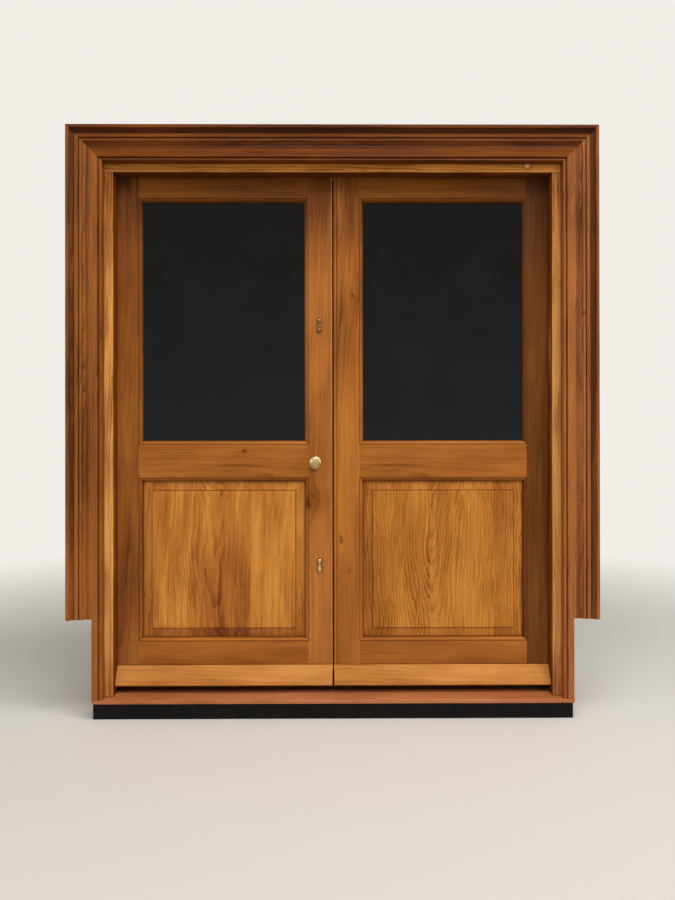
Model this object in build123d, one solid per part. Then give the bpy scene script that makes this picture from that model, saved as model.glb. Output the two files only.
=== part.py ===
"""Pair of inward-opening, half-glazed timber doors in their moulded frame.

Millimetres. X runs to the right as seen from outside, Y runs inwards, Z up.
The origin is on the underside of the base strip, at mid-width and mid-depth of the frame.
The left leaf carries the knob, the latch and two deadlocks. The right leaf carries
the keeps and two flush bolts. All bolts are modelled drawn back.
"""
import os

from build123d import *

# Leaves
leaf_width = 838.0
leaf_height = 1981.0
leaf_thickness = 44.0
stile_face = 93.0
beaded_stile_face = 100.0
top_rail_face = 90.0
lock_rail_face = 129.5
bottom_rail_face = 184.0
panel_opening_height = 629.0
tenon_length = 55.0
tenon_thickness = 12.0
tenon_setback = 12.0
twin_tenon_gap = 45.0
tenon_play = 0.2

# Stuck moulding round the glass and the lower panel
moulding_width = 13.0
moulding_depth = 16.0
moulding_step = 1.5
moulding_fillet = 3.0
lip_thickness = 4.0
staff_bead_width = 12.0
quirk_width = 2.0
quirk_depth = 3.5
arris_radius = 3.0

# Draught strips in the meeting edges, close to the inner face
meeting_strip_thickness = 2.0
meeting_strip_stem = 4.0
meeting_strip_setback = 3.0
meeting_strip_gap = 0.4

# Raised and fielded panel
panel_play = 3.0
field_margin = 36.0
field_recess = 6.0
field_shoulder = 2.0

# Double glazing
pane_thickness = 4.0
pane_spacing = 8.0
pane_play = 3.0
spacer_width = 8.0
seat_play = 0.3

# Weatherboard at the foot of each leaf
weatherboard_lift = 22.0
weatherboard_height = 71.0
weatherboard_reach = 34.0
weatherboard_top = 5.0
weatherboard_nose = 10.0
weatherboard_end_gap = 2.0
drip_width = 5.0
drip_depth = 4.0
face_end_gap = 3.4
nose_end_gap = 8.8

# Gaps round the leaves
hinge_gap = 3.0
meeting_gap = 5.0
head_gap = 3.0
sill_gap = 6.0

# Frame
frame_depth = 95.0
jamb_width = 72.0
stop_width = 12.0
seal_gap = 2.5
seal_stem = 3.0
seal_stem_depth = 5.0
seal_bulb = 6.0
frame_arris = 2.0
frame_tenon_height = 40.0
frame_tenon_margin = 10.0
frame_tenon_thickness = 15.0

# Sill and base strip
base_height = 64.0
base_recess = 20.0
sill_height = 22.0
sill_reach = 82.0
sill_nose_height = 13.0
sill_nose_round = 3.0
water_bar_thickness = 3.0
water_bar_height = 24.0
water_bar_sunk = 12.0
water_bar_setback = 10.5
water_bar_play = 1.0
leaf_rebate_rise = 12.0

# Architrave
architrave_width = 128.0
architrave_thickness = 48.0
side_margin = 34.0
head_margin = 31.0
fascia_thickness = 28.0
plinth_top = 379.0

# Wall fixings through the jambs
fixing_radius = 5.25
bottom_fixing_height = 200.0
top_fixing_drop = 94.0
fixing_count = 4
fixing_y = 22.0

# Butt hinges
hinge_height = 100.0
flap_width = 35.0
flap_thickness = 2.5
flap_play = 0.3
knuckle_radius = 5.5
knuckle_play = 0.3
knuckles = 5
pin_radius = 2.5
pin_play = 0.05
pin_head_radius = 4.0
pin_head_height = 3.0
pivot_offset = 6.0
bottom_hinge_height = 230.0
top_hinge_drop = 180.0

# Knob and latch
knob_height = 871.5
knob_backset = 65.0
knob_radius = 25.5
knob_projection = 58.0
neck_radius = 10.0
neck_play = 0.3
rose_radius = 23.0
rose_thickness = 6.0
spindle_size = 8.0
spindle_play = 0.1
spindle_grip = 22.0
forend_width = 20.0
forend_thickness = 3.0
latch_forend_height = 57.0
latch_tube_radius = 11.0
latch_tube_wall = 2.0
latch_bolt_width = 10.0
latch_bolt_height = 14.0
latch_travel = 11.0
bolt_play = 0.3
bolt_set_in = 0.3

# Deadlocks and their keyhole furniture
upper_lock_drop = 582.0
lower_lock_height = 475.0
lock_backset = 50.0
lock_forend_height = 100.0
lock_case_height = 76.0
lock_case_depth = 64.0
lock_case_thickness = 14.0
lock_case_wall = 1.6
deadbolt_width = 10.0
deadbolt_height = 22.0
deadbolt_travel = 14.0
keyhole_radius = 2.7
keyhole_slot = 2.4
keyhole_drop = 8.0
escutcheon_width = 28.0
escutcheon_margin = 3.0
escutcheon_thickness = 2.0
cover_thickness = 2.5
cover_pivot_radius = 2.0
cover_ball_radius = 7.5
cover_length = 36.0

# Flush bolts in the edge of the right leaf
flush_plate_height = 200.0
flush_plate_end = 20.0
flush_bolt_radius = 4.5
flush_bolt_inset = 9.0
flush_bolt_travel = 16.0
thumb_height = 12.0
thumb_width = 6.0
thumb_stand = 1.3
keep_length = 24.0
keep_width = 16.0
keep_play = 0.6

# Levels and planes worked out from the sizes above
half_meeting = meeting_gap / 2
leaf_edge_x = half_meeting + leaf_width
rebate_x = leaf_edge_x + hinge_gap
stop_x = rebate_x - stop_width
jamb_x = stop_x + jamb_width
inner_y = frame_depth / 2
outer_y = -frame_depth / 2
leaf_out_y = inner_y - leaf_thickness
leaf_mid_y = inner_y - leaf_thickness / 2
stop_y = leaf_out_y - seal_gap
sill_z = base_height + sill_height
leaf_bottom = sill_z + sill_gap
leaf_top = leaf_bottom + leaf_height
rebate_z = leaf_top + head_gap
soffit_z = rebate_z - stop_width
head_top = soffit_z + jamb_width
bottom_rail_top = leaf_bottom + bottom_rail_face
lock_rail_bottom = bottom_rail_top + panel_opening_height
lock_rail_top = lock_rail_bottom + lock_rail_face
top_rail_bottom = leaf_top - top_rail_face
pivot_x = rebate_x - hinge_gap / 2
pivot_y = inner_y + pivot_offset
sill_nose_y = leaf_out_y - sill_reach
water_bar_y = leaf_out_y + water_bar_setback
fixing_pitch = (soffit_z - top_fixing_drop - bottom_fixing_height) / (fixing_count - 1)
latch_z = leaf_bottom + knob_height
lock_levels = {"upper": leaf_top - upper_lock_drop, "lower": leaf_bottom + lower_lock_height}
hinge_levels = (
    leaf_bottom + bottom_hinge_height,
    (leaf_bottom + bottom_hinge_height + leaf_top - top_hinge_drop) / 2,
    leaf_top - top_hinge_drop,
)
BEYOND = 5.0


def block(x, y, z):
    """Box between a low and a high limit on each axis."""
    limits = (x, y, z)
    middle = [(low + high) / 2 for low, high in limits]
    return Pos(*middle) * Box(*[high - low for low, high in limits])


def about(middle, half):
    """Low and high limits that lie evenly about a middle."""
    return (middle - half, middle + half)


def rod(radius, start, direction, length):
    """Round bar from a start point along a direction."""
    bar = Cylinder(radius, length, align=(Align.CENTER, Align.CENTER, Align.MIN))
    return Plane(origin=start, z_dir=direction) * bar


def section(*lines):
    """Flat section bounded by a closed chain of lines and arcs."""
    return make_face(Curve() + list(lines))


def run(profile, middle, across, depth, length):
    """Length of a section, centred on `middle`: its X goes across and its Y goes along depth."""
    along = Vector(*across).cross(Vector(*depth))
    return extrude(Plane(origin=middle, x_dir=across, z_dir=along) * profile, length / 2, both=True)


ACROSS = {"left": (1, 0, 0), "right": (-1, 0, 0), "bottom": (0, 0, 1), "top": (0, 0, -1)}


def ring_length(profile, side, opening, y, depth, mitres="both"):
    """One side of a moulding round an opening, mitred where it meets its neighbours.

    opening is x low, x high, z low, z high. depth is +1 where the section goes inwards.
    """
    x0, x1, z0, z1 = opening
    upright = side in ("left", "right")
    across = Vector(*ACROSS[side])
    fixed = {"left": x0, "right": x1, "bottom": z0, "top": z1}[side]
    if upright:
        middle, length, into = (fixed, y, (z0 + z1) / 2), z1 - z0, Vector(0, 0, 1)
        ends = ((fixed, y, z0), (fixed, y, z1))
    else:
        middle, length, into = ((x0 + x1) / 2, y, fixed), x1 - x0, Vector(1, 0, 0)
        ends = ((x0, y, fixed), (x1, y, fixed))
    piece = run(profile, middle, ACROSS[side], (0, depth, 0), length)
    if mitres in ("both", "low"):
        piece = split(piece, bisect_by=Plane(origin=ends[0], z_dir=into - across))
    if mitres in ("both", "high"):
        piece = split(piece, bisect_by=Plane(origin=ends[1], z_dir=-into - across))
    return piece


def stuck_moulding():
    """Ovolo between a small step and a fillet, with the lip that holds glass or panel."""
    lip_top = moulding_depth - lip_thickness
    curve_end = moulding_width - moulding_fillet
    return section(
        EllipticalCenterArc((0, lip_top), curve_end, lip_top - moulding_step, 270, arc_size=90),
        Polyline((curve_end, lip_top), (moulding_width, lip_top), (moulding_width, moulding_depth),
                 (0, moulding_depth), (0, moulding_step)),
    )


def glazing_bead_section():
    """Loose bead with a rounded inner corner, which holds the glass from inside."""
    bead_depth = leaf_thickness - moulding_depth - 2 * pane_thickness - pane_spacing - 2 * seat_play
    corner = min(bead_depth, moulding_width) * 0.6
    profile = Pos(moulding_width / 2, bead_depth / 2) * Rectangle(moulding_width, bead_depth)
    return fillet(profile.vertices().sort_by_distance((moulding_width, 0, 0))[0], corner)


def grow(opening, amount):
    """Opening made larger on every side."""
    x0, x1, z0, z1 = opening
    return (x0 - amount, x1 + amount, z0 - amount, z1 + amount)


def sheet(opening, y):
    """Flat sheet that fills an opening between two depths."""
    return block(opening[:2], y, opening[2:])


def tenons(rail_bottom, rail_top, x_inner, x_outer, twin, play=0.0):
    """Tenon or twin tenons at one end of a rail, or their mortises when play is given."""
    low, high = rail_bottom + tenon_setback, rail_top - tenon_setback
    middle = (low + high) / 2
    if twin:
        spans = ((low, middle - twin_tenon_gap / 2), (middle + twin_tenon_gap / 2, high))
    else:
        spans = ((low, high),)
    y = about(leaf_mid_y, tenon_thickness / 2 + play)
    x = (min(x_inner, x_outer), max(x_inner, x_outer))
    return [block(x, y, (z0 - play, z1 + play)) for z0, z1 in spans]


def staff_bead_cutter():
    """Waste beside a staff bead and its quirk on the outer arris of the meeting edge."""
    crown = (staff_bead_width / 2, 0)
    foot = (staff_bead_width, quirk_depth)
    far = staff_bead_width + quirk_width
    return section(
        ThreePointArc((0, quirk_depth), crown, foot),
        Polyline(foot, (far, quirk_depth), (far, -BEYOND), (-BEYOND, -BEYOND),
                 (-BEYOND, quirk_depth), (0, quirk_depth)),
    )


def raised_panel(opening):
    """Panel with a tongue in the mouldings and a bevelled, fielded face on each side."""
    tongue = grow(opening, moulding_width - panel_play)
    tongue_y = (leaf_out_y + moulding_depth + seat_play, inner_y - moulding_depth - seat_play)
    field = grow(opening, -field_margin)
    panel = sheet(tongue, tongue_y)
    field_y = (leaf_out_y + field_recess, inner_y - field_recess)
    panel += sheet(field, field_y)
    for start, field_face, sign in ((tongue_y[0], field_y[0], 1), (tongue_y[1], field_y[1], -1)):
        bevel_end = field_face + sign * field_shoulder
        outlines = []
        for rect, y in ((opening, start), (field, bevel_end)):
            x0, x1, z0, z1 = rect
            centre = Plane(origin=((x0 + x1) / 2, y, (z0 + z1) / 2), x_dir=(1, 0, 0), z_dir=(0, -1, 0))
            outlines.append(centre * Rectangle(x1 - x0, z1 - z0))
        panel += loft(outlines)
    return panel


def weatherboard():
    """Sloping board with a nose and a drip groove. Its meeting end is splayed to swing clear."""
    foot = leaf_bottom + weatherboard_lift
    top = foot + weatherboard_height
    front = leaf_out_y - weatherboard_reach
    shoulder = foot + weatherboard_nose + 3.0
    nose_step = 2.0
    profile = section(
        Polyline((leaf_out_y, foot), (leaf_out_y, top), (leaf_out_y - weatherboard_top, top)),
        ThreePointArc((leaf_out_y - weatherboard_top, top),
                      ((leaf_out_y - weatherboard_top + front + nose_step) / 2 - 1.5,
                       (top + shoulder) / 2 + 1.5),
                      (front + nose_step, shoulder)),
        Polyline((front + nose_step, shoulder), (front + nose_step, foot + weatherboard_nose)),
        ThreePointArc((front + nose_step, foot + weatherboard_nose),
                      (front, foot + weatherboard_nose / 2), (front + nose_step, foot)),
        Polyline((front + nose_step, foot), (leaf_out_y, foot)),
    )
    hinge_end = -(stop_x - weatherboard_end_gap)
    board = run(profile, (hinge_end / 2, 0, 0), (0, 1, 0), (0, 0, 1), -hinge_end)
    drip_y = front + weatherboard_nose
    board -= block((hinge_end - BEYOND, BEYOND), (drip_y, drip_y + drip_width),
                   (foot - BEYOND, foot + drip_depth))
    waste = make_face(Polyline((-face_end_gap / 2, leaf_out_y), (-nose_end_gap / 2, front),
                               (BEYOND, front), (BEYOND, leaf_out_y), close=True))
    return board - extrude(Pos(0, 0, foot) * waste, weatherboard_height)


def make_leaf(meeting_face, beaded):
    """All timber and glass of a leaf that is hung on its left edge."""
    hinge_x, meeting_x = -leaf_edge_x, -half_meeting
    left_x, right_x = hinge_x + stile_face, meeting_x - meeting_face
    glass = (left_x, right_x, lock_rail_top, top_rail_bottom)
    panel = (left_x, right_x, bottom_rail_top, lock_rail_bottom)
    through = (leaf_out_y, inner_y)
    height = (leaf_bottom, leaf_top)
    rails = {
        "top_rail": (top_rail_bottom, leaf_top, False),
        "lock_rail": (lock_rail_bottom, lock_rail_top, True),
        "bottom_rail": (leaf_bottom, bottom_rail_top, True),
    }
    parts = {
        "hinge_stile": block((hinge_x, left_x), through, height),
        "meeting_stile": block((right_x, meeting_x), through, height),
    }
    for name, (low, high, twin) in rails.items():
        rail = block((left_x, right_x), through, (low, high))
        for face_x, sign in ((left_x, -1), (right_x, 1)):
            for tenon in tenons(low, high, face_x, face_x + sign * tenon_length, twin):
                rail += tenon
            end_x = face_x + sign * (tenon_length + tenon_play)
            stile = "hinge_stile" if sign < 0 else "meeting_stile"
            for mortise in tenons(low, high, face_x, end_x, twin, tenon_play):
                parts[stile] -= mortise
        parts[name] = rail

    owners = {"left": "hinge_stile", "right": "meeting_stile"}
    for opening, above, below in ((glass, "top_rail", "lock_rail"), (panel, "lock_rail", "bottom_rail")):
        for side in ACROSS:
            owner = {**owners, "top": above, "bottom": below}[side]
            parts[owner] += ring_length(stuck_moulding(), side, opening, leaf_out_y, 1)
            if opening is panel:
                parts[owner] += ring_length(stuck_moulding(), side, opening, inner_y, -1)

    if beaded:
        waste = run(staff_bead_cutter(), (meeting_x, leaf_out_y, (leaf_bottom + leaf_top) / 2),
                    (-1, 0, 0), (0, 1, 0), leaf_height + 2 * BEYOND)
        parts["meeting_stile"] -= waste
    else:
        corner = (meeting_x, leaf_out_y, leaf_bottom)
        edge = parts["meeting_stile"].edges().filter_by(Axis.Z).sort_by_distance(corner)[0]
        parts["meeting_stile"] = fillet(edge, arris_radius)

    # Rebate in the foot of the leaf, which passes over the water bar
    rebate = block((hinge_x - BEYOND, meeting_x + BEYOND),
                   (leaf_out_y - BEYOND, water_bar_y + water_bar_thickness + water_bar_play),
                   (leaf_bottom - BEYOND, leaf_bottom + leaf_rebate_rise))
    for name in ("hinge_stile", "meeting_stile", "bottom_rail"):
        parts[name] -= rebate

    for level in hinge_levels:
        parts["hinge_stile"] -= flap_recess(level, hinge_x)
    parts["meeting_strip"] = meeting_strip()
    parts["meeting_stile"] -= meeting_strip(seat_play)

    sight_panel = grow(panel, -moulding_width)
    parts["panel"] = raised_panel(sight_panel)
    pane = grow(grow(glass, -moulding_width), moulding_width - pane_play)
    outer_pane_y = leaf_out_y + moulding_depth + seat_play
    inner_pane_y = outer_pane_y + pane_thickness + pane_spacing
    parts["outer_pane"] = sheet(pane, (outer_pane_y, outer_pane_y + pane_thickness))
    parts["inner_pane"] = sheet(pane, (inner_pane_y, inner_pane_y + pane_thickness))
    between = (outer_pane_y + pane_thickness, inner_pane_y)
    parts["spacer_bar"] = sheet(pane, between) - sheet(grow(pane, -spacer_width), between)
    parts["glazing_beads"] = Compound(
        [ring_length(glazing_bead_section(), side, glass, inner_y, -1) for side in ACROSS])
    parts["weatherboard"] = weatherboard()
    return parts


def meeting_strip(play=0.0):
    """Draught strip in the meeting edge of the left leaf, or its kerf when play is given."""
    low_y = inner_y - meeting_strip_setback - meeting_strip_thickness
    back = -half_meeting - meeting_strip_stem - play
    front = -meeting_strip_gap / 2 if not play else BEYOND
    ends = (leaf_bottom, leaf_top) if not play else (leaf_bottom - BEYOND, leaf_top + BEYOND)
    return block((back, front), (low_y - play / 2, low_y + meeting_strip_thickness + play / 2), ends)


def flap_recess(level, edge_x):
    """Shallow recess for a hinge flap in the edge of a leaf or in the rebate of a jamb."""
    sunk = (2 * flap_thickness + flap_play - hinge_gap) / 2
    x = (edge_x, edge_x + sunk) if edge_x > -rebate_x else (edge_x - sunk, edge_x)
    return block(x, (inner_y - flap_width, inner_y + BEYOND), about(level, hinge_height / 2))


def hinge_flap(level, on_frame):
    """One flap of a butt hinge on the left side, with its own knuckles, pierced for the pin."""
    half_play = flap_play / 2
    if on_frame:
        x = (-pivot_x - half_play - flap_thickness, -pivot_x - half_play)
    else:
        x = (-pivot_x + half_play, -pivot_x + half_play + flap_thickness)
    bottom = level - hinge_height / 2
    flap = block(x, (inner_y - flap_width, pivot_y - pivot_offset), (bottom, bottom + hinge_height))
    pitch = hinge_height / knuckles
    for index in range(knuckles):
        if (index % 2 == 0) != on_frame:
            continue
        low = bottom + index * pitch + knuckle_play / 2
        high = low + pitch - knuckle_play
        flap += block(x, (pivot_y - pivot_offset - 1.0, pivot_y), (low, high))
        flap += rod(knuckle_radius, (-pivot_x, pivot_y, low), (0, 0, 1), high - low)
    bore = rod(pin_radius + pin_play, (-pivot_x, pivot_y, bottom - BEYOND), (0, 0, 1),
               hinge_height + 2 * BEYOND)
    return flap - bore


def hinge_pin(level):
    """Hinge pin with a turned button at each end."""
    bottom = level - hinge_height / 2
    pin = rod(pin_radius, (-pivot_x, pivot_y, bottom), (0, 0, 1), hinge_height)
    for start, up in ((bottom, -1), (bottom + hinge_height, 1)):
        button = rod(pin_head_radius, (-pivot_x, pivot_y, start), (0, 0, up), pin_head_height)
        rim = button.edges().filter_by(GeomType.CIRCLE).sort_by(Axis.Z)[-1 if up > 0 else 0]
        pin += fillet(rim, pin_head_height * 0.6)
    return pin


def jamb(sill_blank, head_blank):
    """Left jamb: stop, rebate, seal groove, hinge recesses, fixing holes and a tenon on top."""
    outline = Polyline((-jamb_x, outer_y), (-stop_x, outer_y), (-stop_x, stop_y), (-rebate_x, stop_y),
                       (-rebate_x, inner_y), (-jamb_x, inner_y), close=True)
    profile = make_face(outline)
    profile = fillet(profile.vertices().sort_by_distance((-stop_x, outer_y, 0))[0], frame_arris)
    post = extrude(Pos(0, 0, base_height) * profile, head_top - base_height)
    post -= sill_blank
    post -= head_blank
    post += frame_tenon()
    groove_x = -(stop_x + rebate_x) / 2
    post -= block(about(groove_x, seal_stem / 2), (stop_y - seal_stem_depth, stop_y + BEYOND),
                  (base_height, soffit_z))
    for level in hinge_levels:
        post -= flap_recess(level, -rebate_x)
    for index in range(fixing_count):
        level = bottom_fixing_height + index * fixing_pitch
        post -= rod(fixing_radius, (-jamb_x - BEYOND, fixing_y, level), (1, 0, 0),
                    jamb_width + 2 * BEYOND)
    return post


def frame_tenon(play=0.0):
    """Tenon of the left jamb in the head, or its mortise when play is given."""
    x = (-jamb_x + frame_tenon_margin - play, -rebate_x - frame_tenon_margin + play)
    y = about((outer_y + stop_y) / 2, frame_tenon_thickness / 2 + play)
    return block(x, y, (soffit_z, soffit_z + frame_tenon_height + play))


def make_head():
    """Head blank and finished head, with its stop, seal groove and mortises."""
    square = make_face(Polyline((outer_y, soffit_z), (stop_y, soffit_z), (stop_y, rebate_z),
                                (inner_y, rebate_z), (inner_y, head_top), (outer_y, head_top),
                                close=True))
    blank = run(square, (0, 0, 0), (0, 1, 0), (0, 0, 1), 2 * jamb_x)
    eased = fillet(square.vertices().sort_by_distance((outer_y, soffit_z, 0))[0], frame_arris)
    head = run(eased, (0, 0, 0), (0, 1, 0), (0, 0, 1), 2 * jamb_x)
    head -= mirrored_pair(frame_tenon(tenon_play))
    groove_z = (soffit_z + rebate_z) / 2
    head -= block((-rebate_x, rebate_x), (stop_y - seal_stem_depth, stop_y + BEYOND),
                  about(groove_z, seal_stem / 2))
    return blank, head


def make_sill():
    """Sill blank and finished sill: weathered top, rounded nose, drip and groove for the bar."""
    outline = Polyline((sill_nose_y, base_height), (sill_nose_y, base_height + sill_nose_height),
                       (stop_y, sill_z), (inner_y, sill_z), (inner_y, base_height), close=True)
    profile = make_face(outline)
    corner = (sill_nose_y, base_height + sill_nose_height, 0)
    profile = fillet(profile.vertices().sort_by_distance(corner)[0], sill_nose_round)
    blank = run(profile, (0, 0, 0), (0, 1, 0), (0, 0, 1), 2 * jamb_x)
    drip_y = sill_nose_y + base_recess / 2
    drip = block((-jamb_x - BEYOND, jamb_x + BEYOND), about(drip_y, drip_width / 2),
                 (base_height - BEYOND, base_height + drip_depth))
    groove = block((-rebate_x, rebate_x), (water_bar_y, water_bar_y + water_bar_thickness),
                   (sill_z - water_bar_sunk, sill_z + BEYOND))
    return blank, blank - drip - groove


def architrave_section():
    """Architrave from its outer edge inwards: flat, hollow, fillet, ovolo, cove, fascia and bead."""
    top, face, width = architrave_thickness, fascia_thickness, architrave_width
    arris = 1.5
    flat_end, hollow_end = 0.094 * width, 0.234 * width
    fillet_start, fillet_end = 0.242 * width, 0.336 * width
    ovolo_start, ovolo_end, cove_end = 0.367 * width, 0.508 * width, 0.594 * width
    hollow_foot, fillet_top, step_foot, ovolo_foot = face + 7.0, face + 9.0, face + 5.0, face + 2.0
    bead = 0.039 * width
    bead_centre, quirk = width - bead, width - 2 * bead
    return section(
        Polyline((0, 0), (0, top - arris), (arris, top), (flat_end, top), (flat_end + 1, top - 1)),
        ThreePointArc((flat_end + 1, top - 1), (0.148 * width, hollow_foot + 3),
                      (hollow_end, hollow_foot)),
        Polyline((hollow_end, hollow_foot), (fillet_start, hollow_foot), (fillet_start, fillet_top),
                 (fillet_end, fillet_top), (fillet_end, step_foot), (ovolo_start, step_foot),
                 (ovolo_start, step_foot + 2)),
        ThreePointArc((ovolo_start, step_foot + 2), (0.445 * width, step_foot + 1.5),
                      (ovolo_end, ovolo_foot)),
        ThreePointArc((ovolo_end, ovolo_foot), (0.543 * width, face - 1), (cove_end, face)),
        Polyline((cove_end, face), (quirk - bead, face), (quirk - bead, face - 4), (quirk, face - bead)),
        ThreePointArc((quirk, face - bead), (bead_centre, face), (width, face - bead)),
        Polyline((width, face - bead), (width, 0), (0, 0)),
    )


def make_architrave(sill_blank):
    """Mitred architrave: a head and two legs notched over the masonry plinths."""
    outer_x = stop_x + side_margin + architrave_width
    outer_z = soffit_z + head_margin + architrave_width
    outer = (-outer_x, outer_x, base_height, outer_z)
    head = ring_length(architrave_section(), "top", outer, outer_y, -1)
    leg = ring_length(architrave_section(), "left", outer, outer_y, -1, mitres="high")
    leg -= block((-outer_x - BEYOND, -jamb_x), (outer_y - architrave_thickness - BEYOND, outer_y),
                 (base_height - BEYOND, plinth_top))
    leg -= sill_blank
    return head, leg


def seal_section():
    """Draught seal: a stem for the groove and a soft bulb towards the leaf."""
    reach = seal_gap - seat_play
    stem = seal_stem - seat_play
    return section(
        Polyline((-stem / 2, 0), (-stem / 2, -seal_stem_depth + seat_play),
                 (stem / 2, -seal_stem_depth + seat_play), (stem / 2, 0), (seal_bulb / 2, 0)),
        ThreePointArc((seal_bulb / 2, 0), (0, reach), (-seal_bulb / 2, 0)),
        Line((-seal_bulb / 2, 0), (-stem / 2, 0)),
    )


def make_seals():
    """Seals in the stops of the head and the left jamb."""
    side_x = -(stop_x + rebate_x) / 2
    head_z = (soffit_z + rebate_z) / 2
    head_length = 2 * (rebate_x - seat_play)
    post_top = soffit_z - seat_play
    head = run(seal_section(), (0, stop_y, head_z), (0, 0, -1), (0, 1, 0), head_length)
    post = run(seal_section(), (side_x, stop_y, (sill_z + post_top) / 2), (1, 0, 0), (0, 1, 0),
               post_top - sill_z)
    return head, post


def mirrored_pair(solid):
    """A piece and its mirror image on the other side of the middle."""
    return [solid, mirror(solid, about=Plane.YZ)]


def keyhole(x, z, y0, y1):
    """Keyhole cut along Y: a round above a narrow slot."""
    hole = rod(keyhole_radius, (x, y0, z), (0, 1, 0), y1 - y0)
    return hole + block(about(x, keyhole_slot / 2), (y0, y1), (z - keyhole_drop, z))


def knob(face_y, sign):
    """Turned knob: neck, waisted back, rounded rim, ring and low dome; sign points off the leaf."""
    front, rim = knob_projection, knob_radius
    neck_top = (neck_radius, front * 0.36)
    waist = (neck_radius * 1.2, front * 0.46)
    back = (rim * 0.8, front * 0.6)
    widest = (rim, front * 0.79)
    edge = (rim * 0.95, front * 0.875)
    face_edge = (rim * 0.7, front * 0.965)
    ring_foot = (rim * 0.67, front * 0.935)
    profile = section(
        Polyline((0, front), (0, bolt_play), (neck_radius, bolt_play), neck_top),
        ThreePointArc(neck_top, waist, back),
        ThreePointArc(back, (rim * 0.97, front * 0.68), widest),
        ThreePointArc(widest, (rim * 0.985, front * 0.84), edge),
        ThreePointArc(edge, (rim * 0.84, front * 0.93), face_edge),
        Line(face_edge, ring_foot),
        TangentArc((0, front), ring_foot, tangent=(1, 0)),
    )
    turned = revolve(Plane(origin=(0, 0, 0), x_dir=(1, 0, 0), z_dir=(0, 0, sign)) * profile, Axis.Y)
    turned = Pos(-half_meeting - knob_backset, face_y, latch_z) * turned
    half = (spindle_size + spindle_play) / 2
    grip = sorted((face_y, face_y + sign * (spindle_grip + spindle_play)))
    return turned - block(about(-half_meeting - knob_backset, half), grip, about(latch_z, half))


def make_knob_set():
    """Outside and inside knobs, their spindle and the two roses."""
    x = -half_meeting - knob_backset
    half = spindle_size / 2
    spindle = block(about(x, half), (leaf_out_y - spindle_grip, inner_y + spindle_grip),
                    about(latch_z, half))
    roses = []
    for face_y, sign in ((leaf_out_y, -1), (inner_y, 1)):
        rose = rod(rose_radius, (x, face_y, latch_z), (0, sign, 0), rose_thickness)
        front_edge = rose.edges().filter_by(GeomType.CIRCLE).sort_by(Axis.Y)[0 if sign < 0 else -1]
        rose = fillet(front_edge, rose_thickness * 0.5)
        roses.append(rose - rod(neck_radius + neck_play, (x, face_y, latch_z), (0, sign, 0),
                                rose_thickness + BEYOND))
    return knob(leaf_out_y, -1), knob(inner_y, 1), spindle, Compound(roses)


def edge_plate(z, height, hole_y, hole_z):
    """Plate let into the meeting edge of the left leaf, pierced for a bolt."""
    plate = block((-half_meeting - forend_thickness, -half_meeting), about(leaf_mid_y, forend_width / 2),
                  about(z, height / 2))
    return plate - block((-half_meeting - forend_thickness - BEYOND, BEYOND),
                         about(leaf_mid_y, hole_y / 2), about(z, hole_z / 2))


def make_latch():
    """Tubular latch: its case with forend, and the bevelled bolt drawn back inside it."""
    inside = -half_meeting - forend_thickness
    x_spindle = -half_meeting - knob_backset
    tube_end = x_spindle - spindle_size * 1.5
    case = edge_plate(latch_z, latch_forend_height, latch_bolt_width + 2 * bolt_play,
                      latch_bolt_height + 2 * bolt_play)
    tube = rod(latch_tube_radius, (tube_end, leaf_mid_y, latch_z), (1, 0, 0), inside - tube_end)
    tube -= rod(latch_tube_radius - latch_tube_wall, (tube_end + latch_tube_wall, leaf_mid_y, latch_z),
                (1, 0, 0), inside - tube_end)
    tube -= rod(spindle_size * 0.85, (x_spindle, leaf_out_y, latch_z), (0, 1, 0), leaf_thickness)
    case += tube
    nose = -half_meeting - bolt_set_in
    head_back = nose - latch_travel - BEYOND
    bolt = block((head_back, nose), about(leaf_mid_y, latch_bolt_width / 2),
                 about(latch_z, latch_bolt_height / 2))
    bevel = bolt.edges().filter_by(Axis.Z).sort_by_distance((nose, leaf_mid_y - latch_bolt_width, latch_z))
    bolt = chamfer(bevel[0], latch_bolt_width * 0.7)
    tail_end = x_spindle + spindle_size
    bolt += rod(latch_bolt_width / 4, (tail_end, leaf_mid_y, latch_z), (1, 0, 0), head_back - tail_end)
    return case, bolt


def make_deadlock(z):
    """Mortice deadlock: hollow case with forend and keyhole, and its bolt drawn back."""
    inside = -half_meeting - forend_thickness
    x = (inside - lock_case_depth, inside)
    case = block(x, about(leaf_mid_y, lock_case_thickness / 2), about(z, lock_case_height / 2))
    hollow = (x[0] + lock_case_wall, x[1] + BEYOND)
    case -= block(hollow, about(leaf_mid_y, lock_case_thickness / 2 - lock_case_wall),
                  about(z, lock_case_height / 2 - lock_case_wall))
    case += edge_plate(z, lock_forend_height, deadbolt_width + 2 * bolt_play,
                       deadbolt_height + 2 * bolt_play)
    key_x = -half_meeting - lock_backset
    case -= keyhole(key_x, z - keyhole_offset(), leaf_out_y, inner_y)
    nose = -half_meeting - bolt_set_in
    tail = key_x + keyhole_radius + 2.0
    bolt = block((tail, nose), about(leaf_mid_y, deadbolt_width / 2), about(z, deadbolt_height / 2))
    return case, bolt


def keyhole_offset():
    """How far the round of the keyhole lies below the middle of its lock."""
    return cover_length / 3


def lock_cutters(z):
    """Mortise, forend recess and keyhole that a deadlock needs in the meeting stile."""
    inside = -half_meeting - forend_thickness
    return [
        block((inside, 0), about(leaf_mid_y, forend_width / 2), about(z, lock_forend_height / 2)),
        block((inside - lock_case_depth - tenon_play, inside),
              about(leaf_mid_y, lock_case_thickness / 2 + tenon_play),
              about(z, lock_case_height / 2 + tenon_play)),
        keyhole(-half_meeting - lock_backset, z - keyhole_offset(), leaf_out_y - BEYOND,
                inner_y + BEYOND),
    ]


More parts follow.
